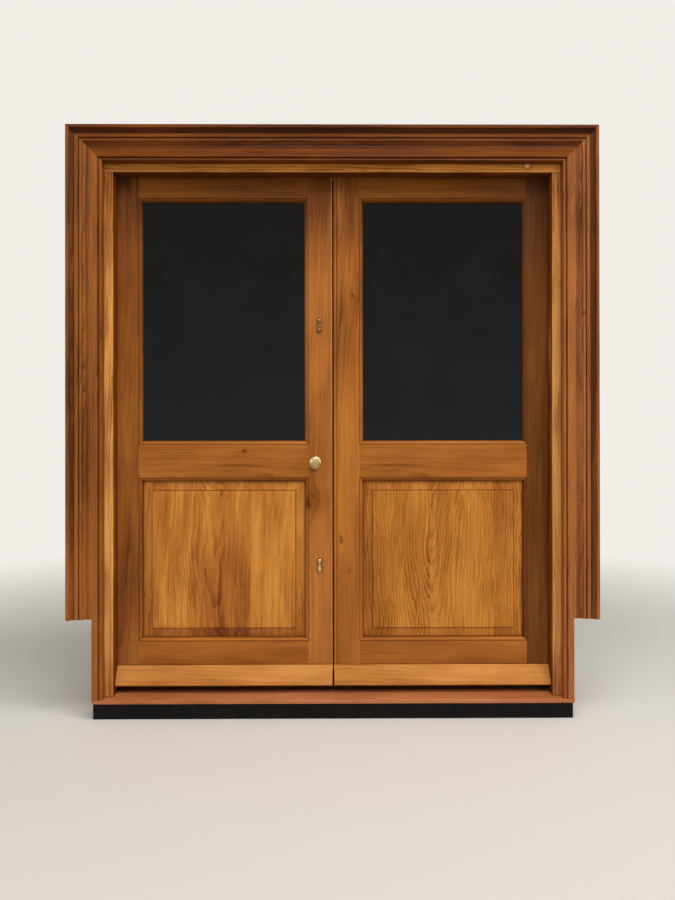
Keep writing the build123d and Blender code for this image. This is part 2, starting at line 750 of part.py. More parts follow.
def latch_cutters():
    """Forend recess, tube bore and spindle hole for the latch."""
    inside = -half_meeting - forend_thickness
    x_spindle = -half_meeting - knob_backset
    depth = knob_backset + spindle_size * 1.5 - forend_thickness + tenon_play
    return [
        block((inside, 0), about(leaf_mid_y, forend_width / 2), about(latch_z, latch_forend_height / 2)),
        rod(latch_tube_radius + tenon_play, (inside - depth, leaf_mid_y, latch_z), (1, 0, 0), depth),
        rod(spindle_size * 0.85, (x_spindle, leaf_out_y - BEYOND, latch_z), (0, 1, 0),
            leaf_thickness + 2 * BEYOND),
    ]


def escutcheon(z):
    """Backplate with two hollow flanks and a pointed foot, its keyhole and its cover's pivot pin."""
    x = -half_meeting - lock_backset
    top, foot = z + cover_length / 2 + escutcheon_margin, z - cover_length / 2 - escutcheon_margin
    half_top, half_foot = escutcheon_width * 0.44, escutcheon_width * 0.5
    ear, hollow = escutcheon_width * 0.4, escutcheon_width * 0.32
    middle = (top + foot) / 2
    tip = foot - escutcheon_margin * 2
    shoulder = foot - escutcheon_margin * 0.6
    outline = [Line((-half_top, top), (half_top, top))]
    for side in (1, -1):
        outline += [
            ThreePointArc((side * half_top, top), (side * hollow, (top + middle) / 2),
                          (side * ear, middle)),
            ThreePointArc((side * ear, middle), (side * hollow, (middle + foot) / 2),
                          (side * half_foot, foot)),
            ThreePointArc((side * half_foot, foot), (side * half_foot * 0.4, shoulder), (0, tip)),
        ]
    face = Plane(origin=(x, leaf_out_y, 0), x_dir=(1, 0, 0), z_dir=(0, -1, 0)) * section(*outline)
    plate = extrude(face, escutcheon_thickness)
    plate -= keyhole(x, z - keyhole_offset(), leaf_out_y - BEYOND, leaf_out_y + BEYOND)
    pivot = (x, leaf_out_y, z + cover_length / 2)
    return plate + rod(cover_pivot_radius, pivot, (0, -1, 0),
                       escutcheon_thickness + flap_play + cover_thickness)


def keyhole_cover(z):
    """Swinging keyhole cover: a domed ball on the pivot, a slim neck, a domed lobe and a finial."""
    x = -half_meeting - lock_backset
    back = leaf_out_y - escutcheon_thickness - flap_play
    pivot_z, lobe_z = z + cover_length / 2, z - cover_length / 2
    neck, lobe, finial = cover_ball_radius * 0.4, cover_ball_radius * 0.93, cover_ball_radius * 0.4
    outline = [
        Line((-neck, pivot_z), (neck, pivot_z)),
        ThreePointArc((neck, pivot_z), (neck * 1.1, (pivot_z + lobe_z) / 2), (lobe, lobe_z)),
        ThreePointArc((lobe, lobe_z), (0, lobe_z - lobe * 0.75), (-lobe, lobe_z)),
        ThreePointArc((-lobe, lobe_z), (-neck * 1.1, (pivot_z + lobe_z) / 2), (-neck, pivot_z)),
    ]
    plane = Plane(origin=(x, back, 0), x_dir=(1, 0, 0), z_dir=(0, -1, 0))
    cover = extrude(plane * section(*outline), cover_thickness)
    for radius, level, stand in ((cover_ball_radius, pivot_z, 3.5), (lobe * 0.86, lobe_z, 2.0),
                                 (finial, lobe_z - lobe, 0.6)):
        height = cover_thickness + stand
        dome = rod(radius, (x, back, level), (0, -1, 0), height)
        front_edge = dome.edges().filter_by(GeomType.CIRCLE).sort_by(Axis.Y)[0]
        cover += fillet(front_edge, min(height, radius) * 0.85)
    bore = rod(cover_pivot_radius + pin_play, (x, back + BEYOND, pivot_z), (0, -1, 0),
               BEYOND + cover_thickness + flap_play)
    return cover - bore


def inside_escutcheon(z):
    """Plain oval keyhole plate on the inner face."""
    x = -half_meeting - lock_backset
    plane = Plane(origin=(x, inner_y, z - keyhole_offset()), x_dir=(1, 0, 0), z_dir=(0, -1, 0))
    plate = extrude(plane * Ellipse(11, 20), -escutcheon_thickness)
    return plate - keyhole(x, z - keyhole_offset(), inner_y - BEYOND, inner_y + BEYOND)


def make_lock_keeps():
    """Keeps in the edge of the right leaf for the latch and both deadbolts, and their mortises."""
    keeps, cutters = [], []
    bolts = [(latch_z, latch_forend_height, latch_bolt_width, latch_bolt_height, latch_travel)]
    bolts += [(z, lock_forend_height, deadbolt_width, deadbolt_height, deadbolt_travel)
              for z in lock_levels.values()]
    for z, height, width, tall, travel in bolts:
        hole_y, hole_z = width + 2 * keep_play, tall + 2 * keep_play
        keeps.append(mirror(edge_plate(z, height, hole_y, hole_z), about=Plane.YZ))
        deep = half_meeting + forend_thickness
        cutters.append(block((0, deep), about(leaf_mid_y, forend_width / 2), about(z, height / 2)))
        cutters.append(block((deep, half_meeting + travel + 2.0), about(leaf_mid_y, hole_y / 2),
                             about(z, hole_z / 2)))
    return Compound(keeps), cutters


def make_flush_bolt(end_z, up):
    """Flush bolt at one end of the right leaf: plate, sliding rod with thumb piece, cutters."""
    x = half_meeting + flush_bolt_inset
    plate_x = (half_meeting, half_meeting + forend_thickness)
    far = end_z - up * (flush_plate_end + flush_plate_height)
    near = end_z - up * flush_plate_end
    plate_z = tuple(sorted((far, near)))
    slot_start = far + up * flush_plate_height / 4
    slot_end = slot_start + up * (thumb_height + flush_bolt_travel + 2.0)
    slot_z = tuple(sorted((slot_start, slot_end)))
    plate = block(plate_x, about(leaf_mid_y, forend_width / 2), plate_z)
    plate -= block((0, 2 * plate_x[1]), about(leaf_mid_y, thumb_width / 2 + bolt_play), slot_z)
    thumb_start = slot_start + up * 1.0
    thumb_z = tuple(sorted((thumb_start, thumb_start + up * thumb_height)))
    bolt = block((half_meeting - thumb_stand, x), about(leaf_mid_y, thumb_width / 2), thumb_z)
    rod_length = abs(end_z - thumb_start) - bolt_set_in
    bolt += rod(flush_bolt_radius, (x, leaf_mid_y, thumb_start), (0, 0, up), rod_length)
    cutters = [
        block((0, plate_x[1]), about(leaf_mid_y, forend_width / 2), plate_z),
        block((plate_x[1], x), about(leaf_mid_y, flush_bolt_radius + bolt_play), slot_z),
        rod(flush_bolt_radius + bolt_play, (x, leaf_mid_y, slot_start), (0, 0, up),
            abs(end_z - slot_start) + BEYOND),
    ]
    return plate, bolt, cutters


def flush_keep(face_z, up):
    """Keep plate let into the head or the sill over the hole for a flush bolt, and its cutters."""
    x = half_meeting + flush_bolt_inset
    plate_z = tuple(sorted((face_z, face_z + up * forend_thickness)))
    plate = block(about(x, keep_length / 2), about(leaf_mid_y, keep_width / 2), plate_z)
    hole = rod(flush_bolt_radius + keep_play, (x, leaf_mid_y, face_z), (0, 0, up),
               flush_bolt_travel + 1.0)
    return plate - hole, plate + hole


os.makedirs("parts", exist_ok=True)
nodes = {}

# Sill, head and jambs
sill_blank, sill = make_sill()
head_blank, head = make_head()
head_keep, head_cut = flush_keep(rebate_z, 1)
sill_keep, sill_cut = flush_keep(sill_z, -1)
nodes["sill"] = sill - sill_cut
nodes["frame_head"] = head - head_cut
nodes["flush_bolt_keeps"] = Compound([head_keep, sill_keep])
nodes["left_jamb"], nodes["right_jamb"] = mirrored_pair(jamb(sill_blank, head_blank))
nodes["base_strip"] = block((-jamb_x, jamb_x), (sill_nose_y + base_recess, inner_y), (0, base_height))
nodes["water_bar"] = block((-rebate_x, rebate_x), (water_bar_y, water_bar_y + water_bar_thickness),
                           (sill_z - water_bar_sunk, sill_z - water_bar_sunk + water_bar_height))

# Architrave and draught seals
nodes["head_architrave"], leg = make_architrave(sill_blank)
nodes["left_architrave"], nodes["right_architrave"] = mirrored_pair(leg)
nodes["head_seal"], post_seal = make_seals()
nodes["left_jamb_seal"], nodes["right_jamb_seal"] = mirrored_pair(post_seal)

# Leaves: the right one is the mirror image of a left-hung leaf with a staff bead
left_leaf = make_leaf(stile_face, beaded=False)
right_leaf = {name: mirror(piece, about=Plane.YZ)
              for name, piece in make_leaf(beaded_stile_face, beaded=True).items()}

# Hinges
frame_flaps = Compound([hinge_flap(level, True) for level in hinge_levels])
leaf_flaps = Compound([hinge_flap(level, False) for level in hinge_levels])
pins = Compound([hinge_pin(level) for level in hinge_levels])
nodes["left_frame_flaps"], nodes["right_frame_flaps"] = mirrored_pair(frame_flaps)
nodes["hinge_pins"] = Compound(mirrored_pair(pins))
left_leaf["hinge_flaps"], right_leaf["hinge_flaps"] = mirrored_pair(leaf_flaps)

# Knob, latch and deadlocks in the left leaf
nodes["outside_knob"], nodes["inside_knob"], nodes["spindle"], nodes["knob_roses"] = make_knob_set()
nodes["latch_case"], nodes["latch_bolt"] = make_latch()
for cutter in latch_cutters():
    left_leaf["meeting_stile"] -= cutter
cases = []
for name, level in lock_levels.items():
    case, nodes[f"{name}_deadbolt"] = make_deadlock(level)
    cases.append(case)
    nodes[f"{name}_escutcheon"] = escutcheon(level)
    nodes[f"{name}_keyhole_cover"] = keyhole_cover(level)
    for cutter in lock_cutters(level):
        left_leaf["meeting_stile"] -= cutter
nodes["deadlock_cases"] = Compound(cases)
nodes["inside_escutcheons"] = Compound([inside_escutcheon(level) for level in lock_levels.values()])

# Keeps and flush bolts in the right leaf
nodes["lock_keeps"], keep_cutters = make_lock_keeps()
top_plate, nodes["top_flush_bolt"], top_cutters = make_flush_bolt(leaf_top, 1)
bottom_plate, nodes["bottom_flush_bolt"], bottom_cutters = make_flush_bolt(leaf_bottom, -1)
nodes["flush_bolt_plates"] = Compound([top_plate, bottom_plate])
for cutter in keep_cutters + top_cutters + bottom_cutters:
    right_leaf["meeting_stile"] -= cutter

for hand, leaf in (("left", left_leaf), ("right", right_leaf)):
    for name, piece in leaf.items():
        nodes[f"{hand}_{name}"] = piece

for name, shape in nodes.items():
    export_step(shape, f"parts/{name}.step")
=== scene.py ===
import math

import bpy
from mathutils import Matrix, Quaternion, Vector


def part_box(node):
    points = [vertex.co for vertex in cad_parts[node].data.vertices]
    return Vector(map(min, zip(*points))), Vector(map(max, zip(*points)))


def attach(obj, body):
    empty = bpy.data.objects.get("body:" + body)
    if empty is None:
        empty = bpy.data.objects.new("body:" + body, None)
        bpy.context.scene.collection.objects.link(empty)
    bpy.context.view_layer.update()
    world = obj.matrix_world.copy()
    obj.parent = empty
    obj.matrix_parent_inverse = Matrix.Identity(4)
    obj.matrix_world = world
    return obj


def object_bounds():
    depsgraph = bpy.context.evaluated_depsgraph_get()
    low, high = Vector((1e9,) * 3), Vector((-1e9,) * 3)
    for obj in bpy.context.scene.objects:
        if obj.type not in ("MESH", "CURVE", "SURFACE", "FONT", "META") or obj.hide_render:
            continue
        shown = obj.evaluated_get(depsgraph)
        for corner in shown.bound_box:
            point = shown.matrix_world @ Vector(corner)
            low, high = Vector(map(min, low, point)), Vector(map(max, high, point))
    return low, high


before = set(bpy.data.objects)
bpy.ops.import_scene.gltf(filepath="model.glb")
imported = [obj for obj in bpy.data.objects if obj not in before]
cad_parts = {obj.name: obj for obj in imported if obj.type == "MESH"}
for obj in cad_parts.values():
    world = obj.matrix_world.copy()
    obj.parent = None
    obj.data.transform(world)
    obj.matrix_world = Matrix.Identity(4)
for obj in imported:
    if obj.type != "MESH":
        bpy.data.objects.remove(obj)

cad_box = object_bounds()
scene = bpy.context.scene
scene.view_settings.view_transform = "Standard"

# Camera
# Head-on at about waist height, two and a half metres away, with a wide lens held almost level.
# The photograph's own lens bows the outer edges a little, which a plain lens can't follow.
camera_data = bpy.data.cameras.new("camera")
camera_data.sensor_width = 36.0
camera_data.lens = 27.44
camera_data.shift_x = 0.0027
camera = bpy.data.objects.new("camera", camera_data)
camera.location = (-0.0077, -2.643, 1.0059)
camera.rotation_euler = (math.radians(90.12), math.radians(0.08), math.radians(-0.335))
scene.collection.objects.link(camera)
scene.camera = camera


# Light and floor
# One wide soft box above and in front of the doors, a smaller one at each side, and an even pale
# sky. The camera, gloss and glass see the pale background; the timber is lit by a dimmer sky.
def linear(hex_colour):
    """sRGB hex colour as the linear value a socket takes."""
    channels = [int(hex_colour[i:i + 2], 16) / 255 for i in (0, 2, 4)]
    return [c / 12.92 if c <= 0.04045 else ((c + 0.055) / 1.055) ** 2.4 for c in channels] + [1.0]


def add(tree, kind, settings=None, **inputs):
    """Add a node, set its properties, and set or link its inputs by name or number."""
    node = tree.nodes.new(kind)
    for name, value in (settings or {}).items():
        setattr(node, name, value)
    for name, value in inputs.items():
        socket = node.inputs[int(name[1:]) if name[1:].isdigit() else name.replace("_", " ")]
        if isinstance(value, bpy.types.NodeSocket):
            tree.links.new(value, socket)
        else:
            socket.default_value = value
    return node


def new_material(name):
    """A new material, its node tree, its shader and the coordinates of the object that wears it."""
    material = bpy.data.materials.new(name)
    material.use_nodes = True
    tree = material.node_tree
    here = add(tree, "ShaderNodeTexCoord").outputs["Object"]
    return material, tree, tree.nodes["Principled BSDF"], here


sky = bpy.data.worlds.new("soft_sky")
scene.world = sky
sky.use_nodes = True
sky_tree = sky.node_tree
sky_tree.nodes.clear()
ray = add(sky_tree, "ShaderNodeLightPath").outputs
seen = add(sky_tree, "ShaderNodeMath", {"operation": "MAXIMUM"},
           i0=ray["Is Camera Ray"], i1=ray["Is Transmission Ray"]).outputs[0]
seen = add(sky_tree, "ShaderNodeMath", {"operation": "MAXIMUM"}, i0=seen,
           i1=ray["Is Glossy Ray"]).outputs[0]
lit = add(sky_tree, "ShaderNodeBackground", Color=linear("ECEAE6"), Strength=0.33).outputs[0]
shown = add(sky_tree, "ShaderNodeBackground", Color=linear("F1EEE8"), Strength=1.0).outputs[0]
mixed = add(sky_tree, "ShaderNodeMixShader", i0=seen, i1=lit, i2=shown).outputs[0]
add(sky_tree, "ShaderNodeOutputWorld", Surface=mixed)

for name, place, width, height, watts in (("soft_box_above", (0.9, -2.3, 5.2), 4.6, 1.6, 205.0),
                                          ("soft_box_right", (3.8, -2.6, 2.6), 1.2, 2.4, 38.0),
                                          ("soft_box_left", (-3.8, -2.8, 2.6), 1.2, 2.4, 26.0)):
    lamp_data = bpy.data.lights.new(name, "AREA")
    lamp_data.shape = "RECTANGLE"
    lamp_data.size, lamp_data.size_y = width, height
    lamp_data.energy = watts
    lamp = bpy.data.objects.new(name, lamp_data)
    lamp.location = place
    lamp.rotation_euler = (Vector((0, 0, 1.0)) - Vector(place)).to_track_quat("-Z", "Y").to_euler()
    scene.collection.objects.link(lamp)

bpy.ops.object.select_all(action="DESELECT")
bpy.ops.mesh.primitive_plane_add(size=30.0, location=(0, 0, 0))
floor = bpy.context.object
floor.name = "floor"
pale_floor, floor_tree, paper, floor_here = new_material("matt_paper_floor")
paper.inputs["Base Color"].default_value = linear("E4E0D8")
paper.inputs["Roughness"].default_value = 0.9
# To the camera, the floor fades into the sky between 1.6 m and 5 m from the middle of the doors
far =add(floor_tree, "ShaderNodeVectorMath", {"operation": "LENGTH"}, i0=floor_here).outputs["Value"]
far = add(floor_tree, "ShaderNodeMapRange", {"interpolation_type": "SMOOTHSTEP"}, Value=far,
          From_Min=1.6, From_Max=5.0, To_Min=0.0, To_Max=1.0).outputs[0]
floor_ray = add(floor_tree, "ShaderNodeLightPath").outputs
far = add(floor_tree, "ShaderNodeMath", {"operation": "MULTIPLY"}, i0=far,
          i1=floor_ray["Is Camera Ray"]).outputs[0]
glow = add(floor_tree, "ShaderNodeEmission", Color=linear("F1EEE8"), Strength=1.0).outputs[0]
haze = add(floor_tree, "ShaderNodeMixShader", i0=far, i1=paper.outputs[0], i2=glow).outputs[0]
floor_tree.links.new(haze, floor_tree.nodes["Material Output"].inputs["Surface"])
floor.data.materials.append(pale_floor)


# Frame: head and jambs
# Rebated oak members, stained orange-brown and varnished. The grain runs along each member,
# and they are the palest timber, apart from grey spots where dirt splashes up from the sill.
def dress(material, *nodes):
    """Give carried-over CAD nodes their finished material."""
    for node in nodes:
        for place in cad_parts[node].material_slots:
            place.material = material


def stained_oak(name, pith, turn, pale, mid, dark, ring=10.0, figure=0.3, patches=1.0, streaks=1.0,
                swirl=1.0, staves=(), blooms=(), knots=(), spots=(), lines=(), moulding=None,
                nook_depth=0.007):
    """Stained and varnished oak. pith is a point on the heart line of the tree that the board came
    from, turn lays that line along the board, and ring is the growth ring spacing in millimetres.
    The stain gives broad soft patches, late-wood lines and fine streaks; the varnish a satin sheen.
    figure, patches, streaks, swirl: strength of the late-wood lines, of the patches, of the streaks
    and of the wander of the grain.
    staves: joints of a glued panel, each with where it starts and its change of tone.
    blooms: broad patches where the stain took more or less, or patches of painted shade: middle, half
    size, change of tone.
    knots: place and radius. spots: bare or dirty marks, with place, radius and colour.
    lines: a line round a rectangle: middle, half size, half width, strength, strength of the darkening
    that fills what lies outside it (painted shade on the bevels of a panel), colour.
    moulding: painted shade across a profile: direction and start of the distance that it follows, whole
    width, and pairs of distance in millimetres and tone.
    nook_depth: how far from a corner painted shade darkens the colour."""
    material, tree, shader, here = new_material(name)
    axis = add(tree, "ShaderNodeSeparateXYZ", Vector=here).outputs
    board = add(tree, "ShaderNodeMapping", {"vector_type": "TEXTURE"}, Vector=here, Location=pith,
                Rotation=[math.radians(a) for a in turn]).outputs[0]
    # Painted shade: the colour darkens with height, for the shade that falls towards the head of the
    # frame
    tone = add(tree, "ShaderNodeMath", {"operation": "MULTIPLY"}, i0=axis[2], i1=0.12).outputs[0]
    for start, change in staves:
        past = add(tree, "ShaderNodeMath", {"operation": "GREATER_THAN"}, i0=axis[0],
                   i1=start).outputs[0]
        tone = add(tree, "ShaderNodeMath", {"operation": "MULTIPLY_ADD"}, i0=past, i1=change,
                   i2=tone).outputs[0]
        jump = add(tree, "ShaderNodeVectorMath", {"operation": "SCALE"}, i0=(0.11, 0.03, 1.7),
                   Scale=past).outputs[0]
        board = add(tree, "ShaderNodeVectorMath", {"operation": "ADD"}, i0=board, i1=jump).outputs[0]

    # The grain wanders a finger's width sideways along a board, and a millimetre or two within a
    # hand's breadth
    grain = board
    for stretch, reach in (((3.2, 3.2, 1.1), 0.055), ((22.0, 22.0, 7.0), 0.009)):
        place = add(tree, "ShaderNodeVectorMath", {"operation": "MULTIPLY"}, i0=board,
                    i1=stretch).outputs[0]
        wander = add(tree, "ShaderNodeTexNoise", Vector=place, Scale=1.0, Detail=2.0,
                     Roughness=0.5).outputs["Color"]
        wander = add(tree, "ShaderNodeVectorMath", {"operation": "SUBTRACT"}, i0=wander,
                     i1=(0.5, 0.5, 0.5)).outputs[0]
        wander = add(tree, "ShaderNodeVectorMath", {"operation": "SCALE"}, i0=wander,
                     Scale=reach * swirl).outputs[0]
        grain = add(tree, "ShaderNodeVectorMath", {"operation": "ADD"}, i0=grain,
                    i1=wander).outputs[0]

    # Knots: the rings swell round each one, and its ragged heart is darker and redder. A knot is
    # longer along the grain, and runs through the board
    heart = None
    ragged = add(tree, "ShaderNodeTexNoise", Vector=here, Scale=70.0, Detail=3.0,
                 Roughness=0.7).outputs["Fac"]
    stretch = (0.6, 0.3, 1.0) if turn[1] > 45 else (1.0, 0.3, 0.6)
    for x, y, z, size in knots:
        away = add(tree, "ShaderNodeVectorMath", {"operation": "SUBTRACT"}, i0=here,
                   i1=(x, y, z)).outputs[0]
        away = add(tree, "ShaderNodeVectorMath", {"operation": "MULTIPLY"}, i0=away,
                   i1=stretch).outputs[0]
        reach = add(tree, "ShaderNodeVectorMath", {"operation": "LENGTH"}, i0=away).outputs["Value"]
        near = add(tree, "ShaderNodeMapRange", {"interpolation_type": "SMOOTHERSTEP"}, Value=reach,
                   From_Min=0.0, From_Max=size * 4, To_Min=-0.75, To_Max=0.0).outputs[0]
        push = add(tree, "ShaderNodeVectorMath", {"operation": "SCALE"}, i0=away,
                   Scale=near).outputs[0]
        grain = add(tree, "ShaderNodeVectorMath", {"operation": "ADD"}, i0=grain, i1=push).outputs[0]
        reach = add(tree, "ShaderNodeMath", {"operation": "MULTIPLY_ADD"}, i0=ragged, i1=size * 3,
                    i2=reach).outputs[0]
        core = add(tree, "ShaderNodeMapRange", {"interpolation_type": "SMOOTHSTEP"}, Value=reach,
                   From_Min=size * 1.3, From_Max=size * 2.4, To_Min=0.85, To_Max=0.0).outputs[0]
        heart = core if heart is None else add(tree, "ShaderNodeMath", {"operation": "MAXIMUM"},
                                               i0=heart, i1=core).outputs[0]

    # Late-wood lines: each darkens slowly and ends sharply, and fades in and out along the board.
    # A wave texture of scale 1 has its rings 314 mm apart
    rings = add(tree, "ShaderNodeTexWave", {"wave_type": "RINGS", "rings_direction": "Z",
                                            "wave_profile": "SAW"},
                Vector=grain, Scale=0.314 / (ring / 1000), Distortion=1.6, Detail=3.0,
                Detail_Scale=0.7, Detail_Roughness=0.6).outputs["Fac"]
    late = add(tree, "ShaderNodeMapRange", {"interpolation_type": "SMOOTHSTEP"}, Value=rings,
               From_Min=0.45, From_Max=1.05, To_Min=0.0, To_Max=1.0).outputs[0]

    # Four noises in the grain's own space: patches of stain a palm wide, the strength of the
    # figure, streaks 1 to 13 mm wide, and pores, which are drawn a little coarser than real ones
    noises = []
    for stretch, detail, rough in (((8.5, 8.5, 1.9), 3.0, 0.55), ((5.0, 5.0, 1.0), 1.0, 0.5),
                                   ((75.0, 75.0, 2.0), 4.0, 0.72), ((1250.0, 1250.0, 38.0), 1.0, 0.5)):
        place = add(tree, "ShaderNodeVectorMath", {"operation": "MULTIPLY"}, i0=grain,
                    i1=stretch).outputs[0]
        noises.append(add(tree, "ShaderNodeTexNoise", Vector=place, Scale=1.0, Detail=detail,
                          Roughness=rough).outputs["Fac"])
    patch, strength, streak, pore = noises
    strength = add(tree, "ShaderNodeMapRange", Value=strength, From_Min=0.4, From_Max=0.65,
                   To_Min=0.35, To_Max=1.0).outputs[0]
    late = add(tree, "ShaderNodeMath", {"operation": "MULTIPLY"}, i0=late, i1=strength).outputs[0]
    pores = add(tree, "ShaderNodeMapRange", Value=pore, From_Min=0.5, From_Max=0.72,
                To_Min=0.0, To_Max=1.0).outputs[0]
    for middle_x, middle_z, half_x, half_z, change in blooms:
        away = add(tree, "ShaderNodeVectorMath", {"operation": "SUBTRACT"}, i0=here,
                   i1=(middle_x, 0, middle_z)).outputs[0]
        away = add(tree, "ShaderNodeVectorMath", {"operation": "MULTIPLY"}, i0=away,
                   i1=(1 / half_x, 0, 1 / half_z)).outputs[0]
        away = add(tree, "ShaderNodeVectorMath", {"operation": "LENGTH"}, i0=away).outputs["Value"]
        away = add(tree, "ShaderNodeMath", {"operation": "MULTIPLY_ADD"}, i0=patch, i1=1.6,
                   i2=away).outputs[0]
        bloom = add(tree, "ShaderNodeMapRange", {"interpolation_type": "SMOOTHSTEP"}, Value=away,
                    From_Min=1.1, From_Max=2.1, To_Min=change, To_Max=0.0).outputs[0]
        tone = add(tree, "ShaderNodeMath", {"operation": "ADD"}, i0=tone, i1=bloom).outputs[0]
    if moulding:
        direction, start, width, tones = moulding
        across = add(tree, "ShaderNodeVectorMath", {"operation": "DOT_PRODUCT"}, i0=here,
                     i1=direction).outputs["Value"]
        across = add(tree, "ShaderNodeMapRange", Value=across, From_Min=start,
                     From_Max=start + width, To_Min=0.0, To_Max=1.0).outputs[0]
        profile = add(tree, "ShaderNodeValToRGB", Fac=across)
        steps = profile.color_ramp.elements
        for index, (distance, shade) in enumerate(tones):
            stop = steps[index] if index < 2 else steps.new(1.0)
            stop.position = distance / 1000 / width
            stop.color = (shade, shade, shade, 1.0)
        tone = add(tree, "ShaderNodeMath", {"operation": "ADD"}, i0=tone,
                   i1=profile.outputs["Color"]).outputs[0]

    # How dark the stain has taken, from 0, palest, to 1
    depth = add(tree, "ShaderNodeMath", {"operation": "MULTIPLY_ADD"}, i0=patch,
                i1=1.7 * patches, i2=0.36 - 0.85 * patches - 0.4 * streaks - 0.22 * figure).outputs[0]
    for share, amount in ((streak, 0.8 * streaks), (late, figure), (pores, 0.08), (tone, 1.0)):
        depth = add(tree, "ShaderNodeMath", {"operation": "MULTIPLY_ADD"}, i0=share, i1=amount,
                    i2=depth).outputs[0]
    ramp = add(tree, "ShaderNodeValToRGB", Fac=depth)
    stops = ramp.color_ramp.elements
    stops[0].position, stops[0].color = 0.1, linear(pale)
    stops[1].position, stops[1].color = 1.0, linear(dark)
    stops.new(0.5).color = linear(mid)
    colour = ramp.outputs["Color"]
    if heart is not None:
        colour = add(tree, "ShaderNodeMix", {"data_type": "RGBA"}, i0=heart, i6=colour,
                     i7=linear("5E220A")).outputs[2]
    for middle_x, middle_z, half_x, half_z, half_width, strength, outside, line_colour in lines:
        edge = add(tree, "ShaderNodeVectorMath", {"operation": "SUBTRACT"}, i0=here,
                   i1=(middle_x, 0, middle_z)).outputs[0]
        edge = add(tree, "ShaderNodeVectorMath", {"operation": "ABSOLUTE"}, i0=edge).outputs[0]
        edge = add(tree, "ShaderNodeVectorMath", {"operation": "SUBTRACT"}, i0=edge,
                   i1=(half_x, 0, half_z)).outputs[0]
        edge = add(tree, "ShaderNodeSeparateXYZ", Vector=edge).outputs
        edge = add(tree, "ShaderNodeMath", {"operation": "MAXIMUM"}, i0=edge[0],
                   i1=edge[2]).outputs[0]
        beyond = add(tree, "ShaderNodeMapRange", Value=edge, From_Min=0.0, From_Max=half_width,
                     To_Min=0.0, To_Max=outside).outputs[0]
        edge = add(tree, "ShaderNodeMath", {"operation": "ABSOLUTE"}, i0=edge).outputs[0]
        edge = add(tree, "ShaderNodeMapRange", {"interpolation_type": "SMOOTHSTEP"}, Value=edge,
                   From_Min=half_width * 0.4, From_Max=half_width * 1.6, To_Min=strength,
                   To_Max=0.0).outputs[0]
        edge = add(tree, "ShaderNodeMath", {"operation": "MAXIMUM"}, i0=edge, i1=beyond).outputs[0]
        colour = add(tree, "ShaderNodeMix", {"data_type": "RGBA"}, i0=edge, i6=colour,
                     i7=linear(line_colour)).outputs[2]
    for x, y, z, size, bare_colour in spots:
        away = add(tree, "ShaderNodeVectorMath", {"operation": "DISTANCE"}, i0=here,
                   i1=(x, y, z)).outputs["Value"]
        away = add(tree, "ShaderNodeMath", {"operation": "MULTIPLY_ADD"}, i0=ragged, i1=size * 3,
                   i2=away).outputs[0]
        bare = add(tree, "ShaderNodeMapRange", Value=away, From_Min=size * 2.2,
                   From_Max=size * 2.6, To_Min=0.9, To_Max=0.0).outputs[0]
        colour = add(tree, "ShaderNodeMix", {"data_type": "RGBA"}, i0=bare, i6=colour,
                     i7=linear(bare_colour)).outputs[2]

    # Painted shade: the colour darkens towards 3A1202 in quirks and corners, where nearby surfaces
    # occlude
    nook = add(tree, "ShaderNodeAmbientOcclusion", {"samples": 8}, Distance=nook_depth).outputs["AO"]
    nook = add(tree, "ShaderNodeMapRange", Value=nook, From_Min=0.25, From_Max=0.9, To_Min=0.9,
               To_Max=0.0).outputs[0]
    colour = add(tree, "ShaderNodeMix", {"data_type": "RGBA"}, i0=nook, i6=colour,
                 i7=linear("3A1202")).outputs[2]
    tree.links.new(colour, shader.inputs["Base Color"])

    relief = add(tree, "ShaderNodeMath", {"operation": "MULTIPLY_ADD"}, i0=pores, i1=-0.8,
                 i2=streak).outputs[0]
    bump = add(tree, "ShaderNodeBump", Strength=0.2, Distance=0.0004, Height=relief).outputs[0]
    tree.links.new(bump, shader.inputs["Normal"])
    sheen = add(tree, "ShaderNodeMapRange", Value=depth, From_Min=0.2, From_Max=0.9,
                To_Min=0.4, To_Max=0.56).outputs[0]
    tree.links.new(sheen, shader.inputs["Roughness"])
    shader.inputs["IOR"].default_value = 1.5
    shader.inputs["Specular IOR Level"].default_value = 0.08
    shader.inputs["Coat Weight"].default_value = 0.05
    shader.inputs["Coat Roughness"].default_value = 0.22
    return material


# Turns, in degrees, that lay the heart line upright or level, a little off true as in real boards
UPRIGHT, LEVEL = (1.2, 0.8, 0), (0, 90, 0.8)
CHIP_SHADE, PALE_WOOD, GREY_DIRT = "4A1C08", "F2B486", "8C7C6C"
# Painted shade: the reveal darkens from the face inwards, for the shade between the frame and the
# leaves
outer_face, reveal_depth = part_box("frame_head")[0][1], 0.05
reveal = ((0, 1, 0), outer_face, reveal_depth, ((0, 0.0), (1, 0.0), (4, 0.45), (50, 0.8)))
# Painted shade: the chip in the head is a pale spot over a larger dark one set lower and to the right,
# whose rim stands in for the shaded edge of the chip
dress(stained_oak("stained_oak_frame_head", (0.3, 0.02, 2.0), LEVEL, "EEA254", "D0863C", "5A2C0C",
                  patches=0.8, moulding=reveal,
                  spots=((0.7385, -0.0475, 2.091, 0.022, CHIP_SHADE),
                         (0.738, -0.0475, 2.093, 0.016, PALE_WOOD))), "frame_head")
dress(stained_oak("stained_oak_left_jamb", (-0.93, 0.03, 0.9), UPRIGHT, "EEAE60", "CC8842", "70380E",
                  figure=0.3, patches=1.2, streaks=1.3, moulding=reveal,
                  blooms=((-0.85, 1.85, 0.3, 0.4, 0.15), (-0.87, 1.15, 0.3, 0.45, -0.2),
                          (-0.87, 0.48, 0.3, 0.09, 0.2), (-0.87, 0.15, 0.3, 0.09, 0.2)),
                  knots=((-0.879, -0.0475, 1.757, 0.01), (-0.866, -0.0475, 0.45, 0.007)),
                  spots=((-0.816, -0.0475, 0.094, 0.012, GREY_DIRT),)), "left_jamb")
